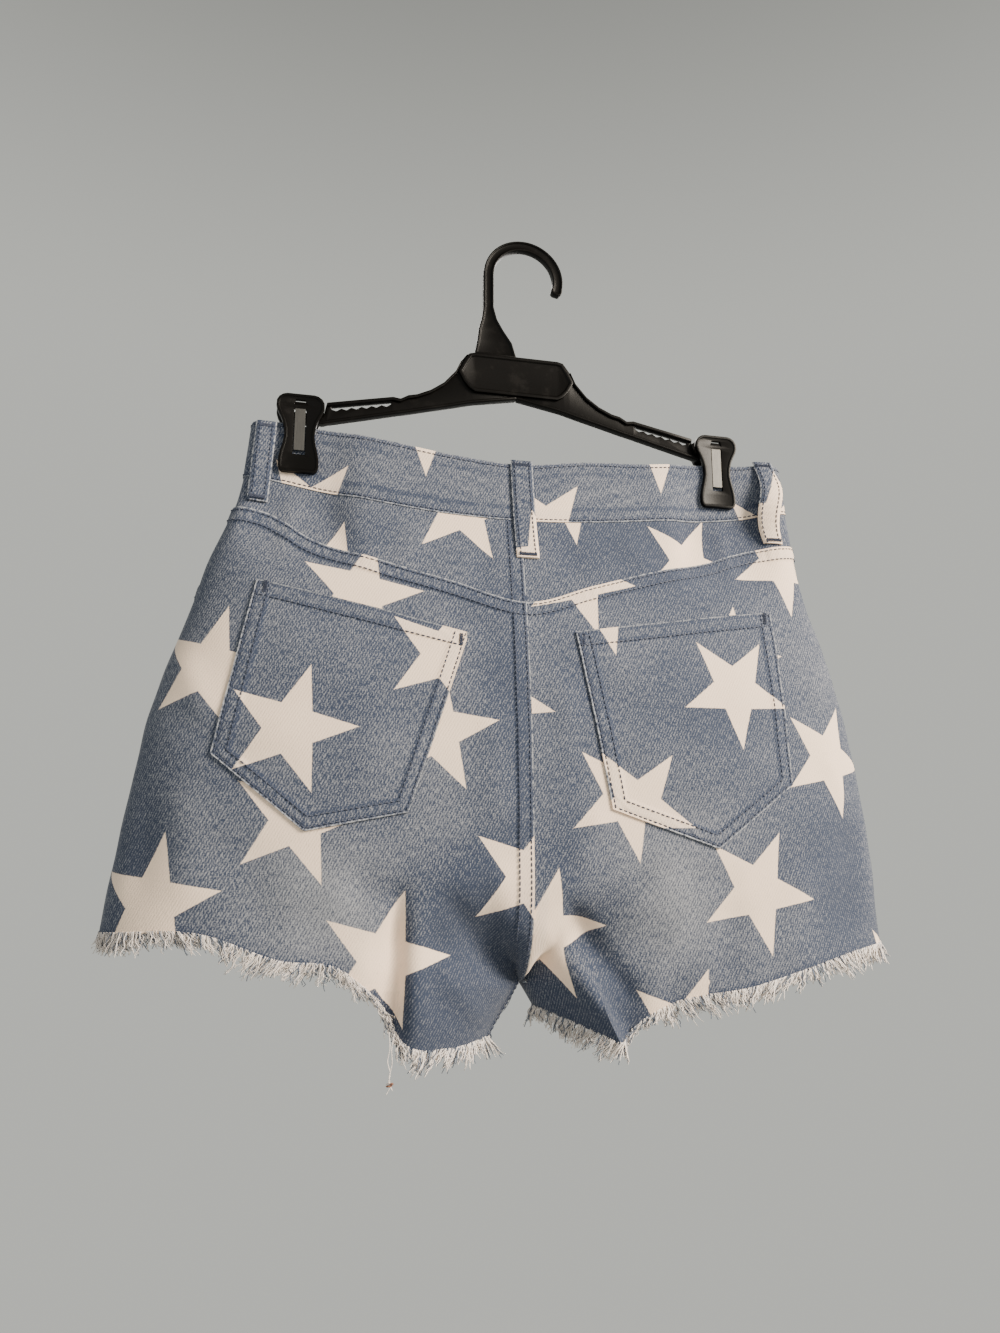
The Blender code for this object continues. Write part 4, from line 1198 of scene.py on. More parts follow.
# %% Fly shield
SHIELD_LEFT, SHIELD_WIDE, SHIELD_TOP, SHIELD_TALL, SHIELD_BEHIND = -16, 38, -207.5, 107.5, 2.4


def fly_outline(across, down):
    x = CENTRE_X + (SHIELD_LEFT + SHIELD_WIDE * np.asarray(across, float)) * MM
    z = (SHIELD_TOP - SHIELD_TALL * np.asarray(down, float)) * MM
    return np.stack(np.broadcast_arrays(x, z), axis=-1)


patch = Patch(FRONT, [0, 2], (8, 24), fly_outline)
patch.raise_by(-SHIELD_BEHIND * MM * np.ones_like(patch.x))
seam = np.zeros((*patch.x.shape, 3)) + (0.1, 0, 0)
patch_piece("fly_shield", patch, seam, [], ["front_left_cloth"])
print("fly shield:", SHIELD_WIDE, "x", SHIELD_TALL, "mm")

# %% [markdown]
# ## Stitches
#
# Navy thread holds it all, about three stitches to the centimetre in double rows. A stitch is a
# short bar that dives into the cloth at both ends, with few faces, because there are thousands.
# They could be instances on a curve; here a row's points are read off the grid, spaced evenly
# along it, and the same small bar is written at each place into one mesh.

# %% Stitch maker
PITCH, STITCH_LONG, STITCH_WIDE = 3.3 * MM, 2.8 * MM, 0.85 * MM
BAR_VERTICES = 16


def unit(vectors):
    return vectors / np.maximum(np.linalg.norm(vectors, axis=-1, keepdims=True), 1e-12)


def places_along(points, normals, pitch, start=0.0):
    """Evenly spaced middles, directions and normals along a line of points."""
    run = np.concatenate([[0], np.cumsum(np.linalg.norm(np.diff(points, axis=0), axis=1))])
    at = np.arange(start + pitch / 2, run[-1], pitch)
    middles = np.column_stack([np.interp(at, run, points[:, k]) for k in range(3)])
    ahead = np.column_stack([np.interp(at + 0.4 * MM, run, points[:, k]) for k in range(3)])
    behind = np.column_stack([np.interp(at - 0.4 * MM, run, points[:, k]) for k in range(3)])
    outs = np.column_stack([np.interp(at, run, normals[:, k]) for k in range(3)])
    return middles, unit(ahead - behind), unit(outs)


def bars(middles, ways, outs, length=STITCH_LONG, width=STITCH_WIDE):
    """Vertices and faces of a small rounded bar at each place."""
    sides = np.cross(ways, outs)
    stations = [(-0.5, 0.35, -0.25), (-0.28, 1.0, 0.2), (0.28, 1.0, 0.2), (0.5, 0.35, -0.25)]
    rings = []
    for along, swell, rise in stations:
        centre = middles + ways * along * length + outs * rise * width
        for a in (0, 1, 2, 3):
            turn = a * math.pi / 2
            rings.append(centre + (sides * math.cos(turn) + outs * math.sin(turn)) * swell * width / 2)
    vertices = np.stack(rings, axis=1)
    faces = [(r * 4 + a, r * 4 + (a + 1) % 4, r * 4 + 4 + (a + 1) % 4, r * 4 + 4 + a)
             for r in range(3) for a in range(4)]
    faces += [(3, 2, 1, 0), (12, 13, 14, 15)]
    offsets = np.arange(len(middles))[:, None, None] * BAR_VERTICES
    return vertices.reshape(-1, 3), (np.array(faces)[None] + offsets).reshape(-1, 4)


def outward_faces(piece):
    """Turns a closed mesh's faces so that they point out."""
    work = bmesh.new()
    work.from_mesh(piece.data)
    bmesh.ops.recalc_face_normals(work, faces=work.faces)
    work.to_mesh(piece.data)
    work.free()


def thread_finish():
    finish = Finish("navy_thread", (0.020, 0.034, 0.085), 0.6, sheen=0.3)
    where = finish.node("TexCoord").outputs["Object"]
    shade = finish.noise(where, 2 * MM, 1.0)
    finish.feed("Base Color", finish.mix(shade, (0.006, 0.011, 0.032), (0.026, 0.042, 0.095)))
    return finish.material


NAVY = thread_finish()


def in_thread(name, lots):
    """One mesh of navy thread from several lots of (vertices, faces)."""
    starts = np.cumsum([0] + [len(vertices) for vertices, _ in lots])
    piece = link(name, np.concatenate([vertices for vertices, _ in lots]),
                 np.concatenate([faces + start for (_, faces), start in zip(lots, starts)]))
    piece.data.materials.append(NAVY)
    outward_faces(piece)
    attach(piece, "root")
    return piece


def sew(name, rows):
    """One mesh with every stitch of some rows; a row is (points, normals)."""
    lots = [bars(*places_along(points, normals, PITCH, 0.3 * MM * (number % 5)))
            for number, (points, normals) in enumerate(rows)]
    in_thread(name, lots).data.shade_smooth()
    print(f"{name}: {sum(len(vertices) for vertices, _ in lots) // BAR_VERTICES} stitches")


print("a stitch every", round(PITCH / MM, 1), "mm")

# %% Fly stitching, then every row
def traced(side, face, s, z, height):
    """A line of points and normals on a creased panel, at given flat places."""
    points = place(side, face, s, z)
    shifted = place(side, face, s + MM, z), place(side, face, s, z + MM)
    normals = unit(np.cross(shifted[0] - points, shifted[1] - points))
    normals *= np.sign(normals[:, 1:2] * face)
    rise = crease_height(side, face, points[:, 0], z) + height
    return points + normals * rise[:, None], normals


FLY_WIDE, FLY_TOP, FLY_TURN = 36 * MM, -212 * MM, -282 * MM
for inset in (0, 6 * MM):
    straight = np.linspace(FLY_TOP, FLY_TURN, 20)
    turn = np.linspace(0, math.pi / 2, 16)[1:]
    reach = FLY_WIDE - inset
    s = np.concatenate([0 * straight + reach, reach * np.cos(turn) + 2 * MM])
    z = np.concatenate([straight, FLY_TURN - (reach + 4 * MM) * np.sin(turn)])
    lines_to_sew["front"].append(traced(LEFT, FRONT, s, z, 0.1 * MM))
for part, rows in lines_to_sew.items():
    sew("stitches_" + part, rows)

# %% Bar tacks
TACK_WIDE, TACK_PITCH, TACK_THREAD = 2.6 * MM, 0.62 * MM, 0.55 * MM


def tack(points, normals):
    """Tight zigzag stitches across a short line."""
    middles, ways, outs = places_along(points, normals, TACK_PITCH)
    return bars(middles, np.cross(ways, outs), outs, TACK_WIDE, TACK_THREAD)


def tack_line(face, x, z, reach_x, reach_z, height):
    """A short line of points and normals round (x, z), lifted off the surface."""
    t = np.linspace(-0.5, 0.5, 7)
    points, _, _ = surface(face, *(np.array([v, v]) for v in (x + t * reach_x, z + t * reach_z)))
    out = np.tile((0.0, face, 0.0), (7, 1))
    return points[0] + out * height, out


tacks = []
for name, row in LOOPS_MM.items():
    size = dict(zip(LOOPS, row))
    for x, z in ((size["x_top"], size["z_top"] - 3), (size["x_bottom"], size["z_bottom"] + 2.6)):
        tacks.append(tack_line(size["face"], x * MM, z * MM, size["width"] * 0.8 * MM, 0, 2.6 * MM))
for _, corners in POCKETS_MM.values():
    for (x, z), inwards in zip(corners[:2], (1, -1)):
        tacks.append(tack_line(SEAT, (x + inwards * 5) * MM, (z - 4.6) * MM,
                               0.5 * MM, 8 * MM, 1.7 * MM))
in_thread("bar_tacks", [tack(*line) for line in tacks])
print(len(tacks), "bar tacks")

# %% [markdown]
# ## Frayed hems
#
# The legs were cut off and left raw, so the cloth's edge has frayed into curly threads, white
# across and blue up. Hair would render well, but it has no mesh to keep. Each thread here is a
# thin three-sided tube that drops from the hem and curls sideways, all in one mesh for a leg.

# %% Threads
rng = np.random.default_rng(11)
THREAD_RADIUS, STATIONS = 0.47 * MM, 10
TUFT = 5.2 * MM  # threads this near one another hang the same way
THREADS_IN = {"back": 1050, "front": 800}
BLUE, WHITE, STAINED = 0.0, 2.0, 3.0  # a thread's shade


def frayed(name, vertices, faces, shades):
    """A piece of frayed thread, with a shade for each vertex."""
    piece = link(name, vertices, faces)
    write(piece.data, "shade", shades)
    outward_faces(piece)
    piece.data.shade_smooth()
    piece.data.materials.append(FRAYED)
    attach(piece, "root")
    return piece


def threads(name, roots, outs, ways, lengths, curls, shades):
    """Tubes that fall from the roots; curls is each one's sideways sway."""
    number = len(roots)
    t = np.linspace(0, 1, STATIONS)[None, :, None]
    phase = rng.uniform(0, 2 * math.pi, (number, 1, 1))
    waves = rng.uniform(0.6, 1.9, (number, 1, 1))
    tuft = np.round((roots[:, 0] + 0.6 * roots[:, 1]) / TUFT)
    # The sine of a large multiple of its number scatters each tuft's lean
    lean = np.sin(tuft * 12.9) * 0.7 + rng.normal(0, 0.14, number)
    away = 0.12 + np.sin(tuft * 78.2) * 0.25 + rng.normal(0, 0.10, number)
    lean, away = lean[:, None, None], away[:, None, None]
    length, curl = lengths[:, None, None], curls[:, None, None]
    swing = np.sin(2 * math.pi * waves * t + phase) - np.sin(phase)
    bow = np.cos(2 * math.pi * waves * t * 0.8 + phase) - np.cos(phase)
    down = np.array([0, 0, -1.0])
    path = (roots[:, None, :] + down * length * (t - 0.12 * curl / MM * t * t)
            + ways[:, None, :] * (lean * length * t + curl * swing * np.sqrt(t + 0.02))
            + outs[:, None, :] * (away * length * t + 0.45 * curl * bow * t))
    thin = 1 - 0.35 * t
    rings = []
    for k in range(3):
        a = 2 * math.pi * k / 3
        rings.append(path + (ways[:, None, :] * math.cos(a) + outs[:, None, :] * math.sin(a))
                     * THREAD_RADIUS * thin)
    vertices = np.stack(rings, axis=2).reshape(-1, 3)
    faces = []
    for r in range(STATIONS - 1):
        for k in range(3):
            a, b = r * 3 + k, r * 3 + (k + 1) % 3
            faces.append((a, b, b + 3, a + 3))
    offsets = np.arange(number)[:, None, None] * STATIONS * 3
    quads = (np.array(faces)[None] + offsets).reshape(-1, 4).tolist()
    end = (STATIONS - 1) * 3
    caps = (np.array([(0, 2, 1), (end, end + 1, end + 2)])[None] + offsets).reshape(-1, 3).tolist()
    return frayed(name, vertices, quads + caps, np.repeat(shades, STATIONS * 3))


def fringe_finish():
    finish = Finish("frayed_thread", (0.6, 0.58, 0.55), 0.95, sheen=0.2)
    shade = finish.attribute("shade").outputs["Fac"]
    where = finish.node("TexCoord").outputs["Object"]
    dirt = finish.noise(where, 3 * MM, 2.0)
    pale = finish.mix(dirt, (0.62, 0.58, 0.55), (0.98, 0.88, 0.80))
    blue = finish.mix(dirt, (0.06, 0.08, 0.12), (0.22, 0.25, 0.31))
    both = finish.mix(finish.span(shade, 0.9, 1.1), blue, pale)
    finish.feed("Base Color", finish.mix(finish.span(shade, 2.4, 2.6), both, (0.22, 0.09, 0.05)))
    return finish.material


def loose_end(name, points, radius, shade):
    """One five-sided thread through given points."""
    points = np.array(points) * MM
    run = np.arange(len(points), dtype=float)
    at = np.linspace(0, run[-1], 6 * len(points))
    path = np.column_stack([curve(at, run, points[:, k]) for k in range(3)])
    rings = []
    for k in range(5):
        a = 2 * math.pi * k / 5
        rings.append(path + np.array([math.cos(a), math.sin(a), 0.2 * math.cos(a)]) * radius)
    vertices = np.stack(rings, axis=1).reshape(-1, 3)
    faces = [(r * 5 + k, r * 5 + (k + 1) % 5, r * 5 + 5 + (k + 1) % 5, r * 5 + 5 + k)
             for r in range(len(at) - 1) for k in range(5)]
    end = (len(at) - 1) * 5
    caps = [(4, 3, 2, 1, 0), tuple(range(end, end + 5))]
    frayed(name, vertices, faces + caps, np.full(len(vertices), shade))


FRAYED = fringe_finish()
for side, hand in ((LEFT, "left"), (RIGHT, "right")):
    roots, outs, ways = [], [], []
    for face, number in THREADS_IN.items():
        grid = grids[f"{face}_{hand}"]
        edge, normal = grid.points[-1], grid.normals[-1]
        run = np.concatenate([[0], np.cumsum(np.linalg.norm(np.diff(edge, axis=0), axis=1))])
        at = rng.uniform(0, run[-1], number)
        sample = [np.column_stack([np.interp(at, run, g[:, k]) for k in range(3)])
                  for g in (edge, normal)]
        depth = rng.uniform(-0.4, 1.0, (number, 1)) * WALL
        out = unit(sample[1] * (1, 1, 0))
        roots.append(sample[0] - sample[1] * depth + (0, 0, 1.2 * MM))
        outs.append(out)
        ways.append(np.cross(out, (0, 0, 1.0)))
    roots, outs, ways = (np.concatenate(g) for g in (roots, outs, ways))
    number = len(roots)
    clumps = 0.5 + 0.5 * np.sin(roots[:, 0] * 420 + 2 * np.sin(roots[:, 0] * 150) + roots[:, 1] * 90)
    lengths = rng.uniform(8.0, 14.0, number) * MM * (0.65 + 0.5 * clumps)
    curls = rng.uniform(0.4, 2.0, number) * MM
    shades = rng.choice([BLUE, WHITE], number, p=[0.22, 0.78])
    piece = threads(f"fringe_{hand}_threads", roots, outs, ways, lengths, curls, shades)
    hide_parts(f"fringe_{hand}")
    print(f"{piece.name}: {number} threads")

# %% The loose threads at the left hem and the crotch
# Points (x, y, z) in mm from the hem down, radius in mm and shade
LOOSE_MM = {
    "loose_thread_a": ([(-84, -37, -516), (-85.5, -38, -524), (-85, -38, -531), (-86.5, -38, -538),
                        (-86, -38, -543), (-88, -38, -547)], 0.34, WHITE),
    "loose_thread_b": ([(-87, -37, -515), (-86.5, -38.5, -523), (-87.5, -38, -530),
                        (-86, -38, -536), (-86.6, -38, -541), (-84.5, -38, -545)], 0.3, WHITE),
    "loose_knot": ([(-87.2, -38, -541.4), (-85.4, -38.8, -541), (-85, -37.2, -542.4),
                    (-86.6, -37, -543.2), (-87.4, -38.4, -542.2), (-85.8, -38.6, -542.8)],
                   1.0, STAINED),
    "loose_thread_c": ([(-9, -3, -498), (-11, -4, -504), (-15, -5, -510), (-20, -5, -513)],
                       0.3, BLUE),
}
for name, (points, radius_mm, shade) in LOOSE_MM.items():
    loose_end(name, points, radius_mm * MM, shade)
print(len(LOOSE_MM), "loose ends")

# %% Each sheet on the body in place of its node
for piece, flat, node, rests_on in sewn:
    declare(piece, node)

# %% [markdown]
# ## The hanger
#
# The hanger is one moulding of black plastic with an I-shaped section: a thin web between
# raised rims, a thicker plate in the middle with a sunk panel, and a saw-toothed slot near each
# clip. It could be cut from one outline with Booleans, but moulded parts are easier to shape
# the way they are drawn: a plane's end edge is extruded from station to station, then the plate
# gets its thickness from Solidify and its soft edges from Bevel.

# %% Modelling helpers
def pick(test, kind="faces"):
    """In edit mode, selects only what has its middle, in mm, where the test says."""
    mode = {"faces": "FACE", "edges": "EDGE", "verts": "VERT"}[kind]
    bpy.ops.mesh.select_mode(type=mode)
    bpy.ops.mesh.select_all(action="DESELECT")
    work = bmesh.from_edit_mesh(bpy.context.object.data)
    for item in getattr(work, kind):
        corners = [item.co] if kind == "verts" else [v.co for v in item.verts]
        item.select_set(bool(test(np.mean(corners, axis=0) / MM)))
    work.select_flush_mode()
    bmesh.update_edit_mesh(bpy.context.object.data)


def only(piece):
    bpy.ops.object.select_all(action="DESELECT")
    piece.select_set(True)
    bpy.context.view_layer.objects.active = piece
    return piece


def apply(kind, **settings):
    """Adds a modifier to the active object, sets it and applies it."""
    made = bpy.context.object.modifiers.new(kind.title(), kind)
    for key, value in settings.items():
        setattr(made, key, value)
    bpy.ops.object.modifier_apply(modifier=made.name)


def plate(name, stations, thick, upright=False, y=0.0):
    """A flat plate along X, or down Z if upright. A station is (place, one edge, other edge)."""
    axis, cross = (2, 0) if upright else (0, 2)

    def vector(along, across):
        made = [0, 0, 0]
        made[axis], made[cross] = along * MM, across * MM
        return made

    def widen(old, new):
        size = [1, 1, 1]
        size[cross] = (new[1] - new[2]) / (old[1] - old[2])
        bpy.ops.transform.resize(value=size,
                                 center_override=vector(new[0], (new[1] + new[2]) / 2))

    first, second = stations[:2]
    middle = vector((first[0] + second[0]) / 2, (first[1] + first[2]) / 2)
    bpy.ops.mesh.primitive_plane_add(size=1, location=middle, rotation=(math.pi / 2, 0, 0))
    piece = only(bpy.context.object)
    piece.name = piece.data.name = name
    long, wide = abs(second[0] - first[0]) * MM, abs(first[1] - first[2]) * MM
    piece.scale = (wide, long, 1) if upright else (long, wide, 1)
    bpy.ops.object.transform_apply(location=True, rotation=True, scale=True)
    bpy.ops.object.mode_set(mode="EDIT")
    pick(lambda m: abs(m[axis] - second[0]) < 0.01, "edges")
    shift = (second[1] + second[2] - first[1] - first[2]) / 2
    bpy.ops.transform.translate(value=vector(0, shift))
    widen(first, second)
    for old, new in zip(stations[1:], stations[2:]):
        shift = (new[1] + new[2] - old[1] - old[2]) / 2
        bpy.ops.mesh.extrude_region_move(
            TRANSFORM_OT_translate={"value": vector(new[0] - old[0], shift)})
        widen(old, new)
    bpy.ops.mesh.select_all(action="SELECT")
    bpy.ops.mesh.normals_make_consistent(inside=False)
    bpy.ops.object.mode_set(mode="OBJECT")
    apply("SOLIDIFY", thickness=thick * MM, offset=0)
    bpy.ops.object.mode_set(mode="EDIT")
    bpy.ops.mesh.select_all(action="SELECT")
    bpy.ops.mesh.normals_make_consistent(inside=False)
    bpy.ops.transform.translate(value=(0, y * MM, 0))
    bpy.ops.object.mode_set(mode="OBJECT")
    return piece


def soften(piece, width, segments=3):
    """Rounds a piece's sharp edges and shades it smooth between them."""
    only(piece)
    apply("BEVEL", width=width * MM, segments=segments, limit_method="ANGLE",
          angle_limit=math.radians(35), use_clamp_overlap=True)
    bpy.ops.object.shade_smooth_by_angle(angle=math.radians(40))


def join(name, parts):
    """One object from several."""
    only(parts[0])
    for part in parts:
        part.select_set(True)
    bpy.ops.object.join()
    piece = bpy.context.object
    piece.name = piece.data.name = name
    return piece


def plastic_finish():
    finish = Finish("black_plastic", (0.011, 0.010, 0.009), 0.34)
    finish.feed("Specular IOR Level", 0.12)
    where = finish.node("TexCoord").outputs["Object"]
    grain = finish.noise(where, 0.9 * MM, 3.0)
    dust = finish.span(finish.noise(where, 12 * MM, 4.0, 0.7), 0.50, 0.75)
    finish.feed("Base Color", finish.mix(dust, (0.0022, 0.0018, 0.0015), (0.0050, 0.0042, 0.0036)))
    finish.feed("Roughness", finish.span(dust, 0.0, 1.0, 0.36, 0.43))
    finish.bump(grain, 0.06 * MM, 0.5)
    return finish.material


def finished(piece, material, node):
    piece.data.materials.clear()
    piece.data.materials.append(material)
    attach(piece, "root")
    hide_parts(node)
    print(f"{piece.name}: {len(piece.data.polygons)} faces")


PLASTIC = plastic_finish()
X0 = CENTRE_X / MM
print("helpers ready; the hanger's middle is at", X0, "mm")

# %% Bar
WEB_STATIONS = [(0, -83, -114.6), (30, -83, -120.2), (34.5, -84.5, -121.3), (38.5, -90, -122.4),
                (42, -98, -123.4), (50, -107.5, -125.5), (59, -114, -127.8), (68, -118.2, -130.2),
                (74, -119.6, -131.8), (79, -122.6, -133.0), (84, -121.9, -134.2), (104, -126, -139.4),
                (127, -130.8, -145.2), (129, -140.3, -145.9), (150, -140.8, -146.3)]
RIM_TALL, RIM_THICK, WEB_THICK = 2.3, 6.0, 3.0
PLATE_STATIONS = [(-40, -97.2, -99), (-36.5, -90.5, -105.5), (-33, -84.6, -109.6),
                  (-29, -83.6, -112.2), (29, -83.6, -112.2), (33, -84.6, -109.6),
                  (36.5, -90.5, -105.5), (40, -97.2, -99)]
TOOTH, SLOT_FROM, SLOT_TO = 6.5, 85, 124


def shifted(stations, side=1):
    """Stations moved to the hanger's middle, and turned over for the left arm."""
    moved = [(X0 + side * x, *edges) for x, *edges in stations]
    return moved if side == 1 else moved[::-1]


def slot_stations():
    """A slot under the upper rim whose lower edge is saw-toothed."""
    stations = []
    for k in range(int((SLOT_TO - SLOT_FROM) / TOOTH * 2) + 1):
        x = SLOT_FROM + k * TOOTH / 2
        upper = -125.0 - (x - SLOT_FROM) * 0.205
        stations.append((x, upper, upper - (3.1 if k % 2 else 1.5)))
    return stations


bar_parts = []
for side in (LEFT, RIGHT):
    web = plate("web", shifted(WEB_STATIONS, side), WEB_THICK)
    cutter = plate("slot", shifted(slot_stations(), side), 20)
    only(web)
    apply("BOOLEAN", object=cutter, operation="DIFFERENCE", solver="EXACT")
    bpy.data.objects.remove(cutter)
    soften(web, 0.5, 2)
    upper = [(x, top, top - RIM_TALL) for x, top, _ in WEB_STATIONS[3:-2]]
    lower = [(x, low + RIM_TALL, low) for x, _, low in WEB_STATIONS]
    rims = [plate("rim", shifted(stations, side), RIM_THICK) for stations in (upper, lower)]
    for rim in rims:
        soften(rim, 0.9)
    bar_parts += [web, *rims]

boss = plate("boss", shifted(PLATE_STATIONS), 7.4)
bpy.ops.object.mode_set(mode="EDIT")
for face in (SEAT, FRONT):
    pick(lambda m: m[1] * face > 3)
    bpy.ops.mesh.inset(thickness=2.2 * MM, depth=0)
    bpy.ops.mesh.inset(thickness=0.5 * MM, depth=-0.9 * MM)
bpy.ops.object.mode_set(mode="OBJECT")
soften(boss, 0.35, 2)
finished(join("hanger_bar_moulding", bar_parts + [boss]), PLASTIC, "hanger_bar")

# %% [markdown]
# ## The hook
#
# The hook is flat too: one section swept round an arc, which Spin does in a single step, and
# then extruded down into the stem and out into the gusset that joins the plate.

# %% Hook
HOOK_MIDDLE_Z, HOOK_RADIUS, HOOK_WIDE, HOOK_THICK, HOOK_TURN = -21.5, 25.0, 7.0, 5.2, 192
STEM = [(-25, -47, 7.0), (-24.4, -56, 10.5), (-23.2, -64, 17.0), (-20.6, -73, 24.0), (-20, -83.4, 29)]

bpy.ops.mesh.primitive_plane_add(size=1, location=(-HOOK_RADIUS * MM, 0, HOOK_MIDDLE_Z * MM))
hook = only(bpy.context.object)
hook.scale = (HOOK_WIDE * MM, HOOK_THICK * MM, 1)
bpy.ops.object.transform_apply(location=True, rotation=True, scale=True)
bpy.ops.object.mode_set(mode="EDIT")
bpy.ops.mesh.select_all(action="SELECT")
bpy.ops.mesh.spin(steps=30, angle=-math.radians(HOOK_TURN), center=(0, 0, HOOK_MIDDLE_Z * MM),
                  axis=(0, 1, 0))
tip = math.radians(180 - HOOK_TURN)
tip_at = np.array([HOOK_RADIUS * math.cos(tip), 0, HOOK_MIDDLE_Z + HOOK_RADIUS * math.sin(tip)])
pick(lambda m: np.linalg.norm(m - tip_at) < 0.3)
onwards = np.array([math.sin(tip), 0, -math.cos(tip)])
for step, size in ((1.2, 1.12), (2.2, 0.9), (1.2, 0.6)):
    tip_at = tip_at + onwards * step
    bpy.ops.mesh.extrude_region_move(TRANSFORM_OT_translate={"value": list(onwards * step * MM)})
    bpy.ops.transform.resize(value=(size, 1, size), center_override=list(tip_at * MM))
pick(lambda m: abs(m[2] - HOOK_MIDDLE_Z) < 0.01 and m[0] < 0)
old = (-HOOK_RADIUS, HOOK_MIDDLE_Z, HOOK_WIDE)
for new in STEM:
    move = ((new[0] - old[0]) * MM, 0, (new[1] - old[1]) * MM)
    bpy.ops.mesh.extrude_region_move(TRANSFORM_OT_translate={"value": move})
    bpy.ops.transform.resize(value=(new[2] / old[2], 1, 1),
                             center_override=(new[0] * MM, 0, new[1] * MM))
    old = new
bpy.ops.mesh.select_all(action="SELECT")
bpy.ops.mesh.remove_doubles(threshold=0.01 * MM)
bpy.ops.mesh.normals_make_consistent(inside=False)
for face in (SEAT, FRONT):
    pick(lambda m: m[1] * face > 2.5 and m[2] > -82)
    bpy.ops.mesh.inset(thickness=1.3 * MM, depth=0)
    bpy.ops.mesh.inset(thickness=0.3 * MM, depth=-0.9 * MM)
bpy.ops.object.mode_set(mode="OBJECT")
soften(hook, 0.45, 2)
hook.name = hook.data.name = "hanger_hook_moulding"
finished(hook, PLASTIC, "hanger_hook")

# %% [markdown]
# ## The clips
#
# Each clip is two plastic jaws with a narrow waist, held shut by a bent steel strip that shows
# in the jaws' windows. One jaw is modelled and copied four times, each copy with its own mesh.

# %% Jaws and springs
JAW_STATIONS = [(-128.9, 8.6), (-129.6, 11.2), (-131.4, 13.6), (-134, 15.0), (-137.5, 15.2),
                (-141, 14.2), (-144.5, 12.4), (-148, 10.9), (-153, 9.7), (-158, 9.5), (-163, 10.3),
                (-168, 11.6), (-173, 12.5), (-178, 12.6), (-180.6, 11.8), (-182, 10.2)]
JAW_NEAR, JAW_FAR = 4.05, 7.2
WINDOWS = [[(-132.6, 3.2), (-136.2, 4.4)], [(-138.6, 3.9), (-170, 3.9)]]
both = [(z, half, -half) for z, half in JAW_STATIONS]
jaw = plate("jaw", both, JAW_FAR - JAW_NEAR, upright=True, y=-(JAW_NEAR + JAW_FAR) / 2)
bpy.ops.object.mode_set(mode="EDIT")
pick(lambda m: m[1] < -(JAW_FAR - 0.2))
bpy.ops.mesh.inset(thickness=1.5 * MM, depth=0)
bpy.ops.mesh.inset(thickness=0.4 * MM, depth=-0.6 * MM)
bpy.ops.object.mode_set(mode="OBJECT")
for window in WINDOWS:
    cutter = plate("window", [(z, half, -half) for z, half in window], 30, upright=True)
    only(jaw)
    apply("BOOLEAN", object=cutter, operation="DIFFERENCE", solver="EXACT")
    bpy.data.objects.remove(cutter)
soften(jaw, 0.4, 2)

for side, hand in ((LEFT, "left"), (RIGHT, "right")):
    for face, part in ((SEAT, "seat"), (FRONT, "front")):
        copy = jaw.copy()
        copy.data = jaw.data.copy()
        bpy.context.scene.collection.objects.link(copy)
        only(copy)
        if face == FRONT:
            bpy.ops.object.mode_set(mode="EDIT")
            bpy.ops.mesh.select_all(action="SELECT")
            bpy.ops.transform.resize(value=(1, -1, 1), center_override=(0, 0, 0))
            bpy.ops.mesh.normals_make_consistent(inside=False)
            bpy.ops.object.mode_set(mode="OBJECT")
        copy.location = (CENTRE_X + side * CLIP_OUT, 0, 0)
        bpy.ops.object.transform_apply(location=True, rotation=True, scale=True)
        copy.name = copy.data.name = f"jaw_{hand}_{part}_moulding"
        finished(copy, PLASTIC, f"clip_{hand}_{part}_jaw")
bpy.data.objects.remove(jaw)


def steel_finish():
    finish = Finish("spring_strip", (0.115, 0.112, 0.106), 0.48, metallic=1.0)
    where = finish.node("TexCoord").outputs["Object"]
    brushed = finish.noise(where, (0.15 * MM, 4 * MM, 8 * MM), 2.0)
    finish.feed("Roughness", finish.span(brushed, 0.3, 0.7, 0.42, 0.60))
    finish.bump(brushed, 0.02 * MM, 0.5)
    return finish.material


STEEL = steel_finish()
for hand in ("left", "right"):
    for slot_of_node in frame["nodes"][f"clip_{hand}_spring"].material_slots:
        slot_of_node.material = STEEL
print("4 jaws, 2 springs")

# %% [markdown]
# ## The button
#
# A jeans button is a stamped brass cap on a shank. It is round, so a filled circle is extruded
# outwards and scaled ring by ring, as on a lathe.

# %% Button
BUTTON_MM = (CENTRE_X / MM - 13, -185)
BUTTON_PROFILE = [(3.0, 1.2), (7.9, 1.3), (8.5, 1.8), (8.6, 2.4), (8.0, 3.0), (7.0, 3.25),
                  (6.4, 2.9), (5.6, 2.9), (5.0, 3.3), (3.0, 3.6), (1.0, 3.7)]
button_y = at_x(FRONT, BUTTON_MM[0] * MM, BUTTON_MM[1] * MM)[1] / MM + 0.6
bpy.ops.mesh.primitive_circle_add(
    vertices=36, radius=3 * MM, fill_type="NGON", rotation=(-math.pi / 2, 0, 0),
    location=(BUTTON_MM[0] * MM, button_y * MM, BUTTON_MM[1] * MM))
button = only(bpy.context.object)
bpy.ops.object.transform_apply(location=True, rotation=True, scale=True)
bpy.ops.object.mode_set(mode="EDIT")
bpy.ops.mesh.select_all(action="SELECT")
radius, out = 3.0, 0.0
for new_radius, new_out in BUTTON_PROFILE:
    bpy.ops.mesh.extrude_region_move(
        TRANSFORM_OT_translate={"value": (0, (new_out - out) * MM, 0)})
    ratio = new_radius / radius
    bpy.ops.transform.resize(value=(ratio, 1, ratio), center_override=(
        BUTTON_MM[0] * MM, (button_y + new_out) * MM, BUTTON_MM[1] * MM))
    radius, out = new_radius, new_out
bpy.ops.mesh.select_all(action="SELECT")
bpy.ops.mesh.normals_make_consistent(inside=False)
bpy.ops.object.mode_set(mode="OBJECT")
bpy.ops.object.shade_smooth_by_angle(angle=math.radians(40))
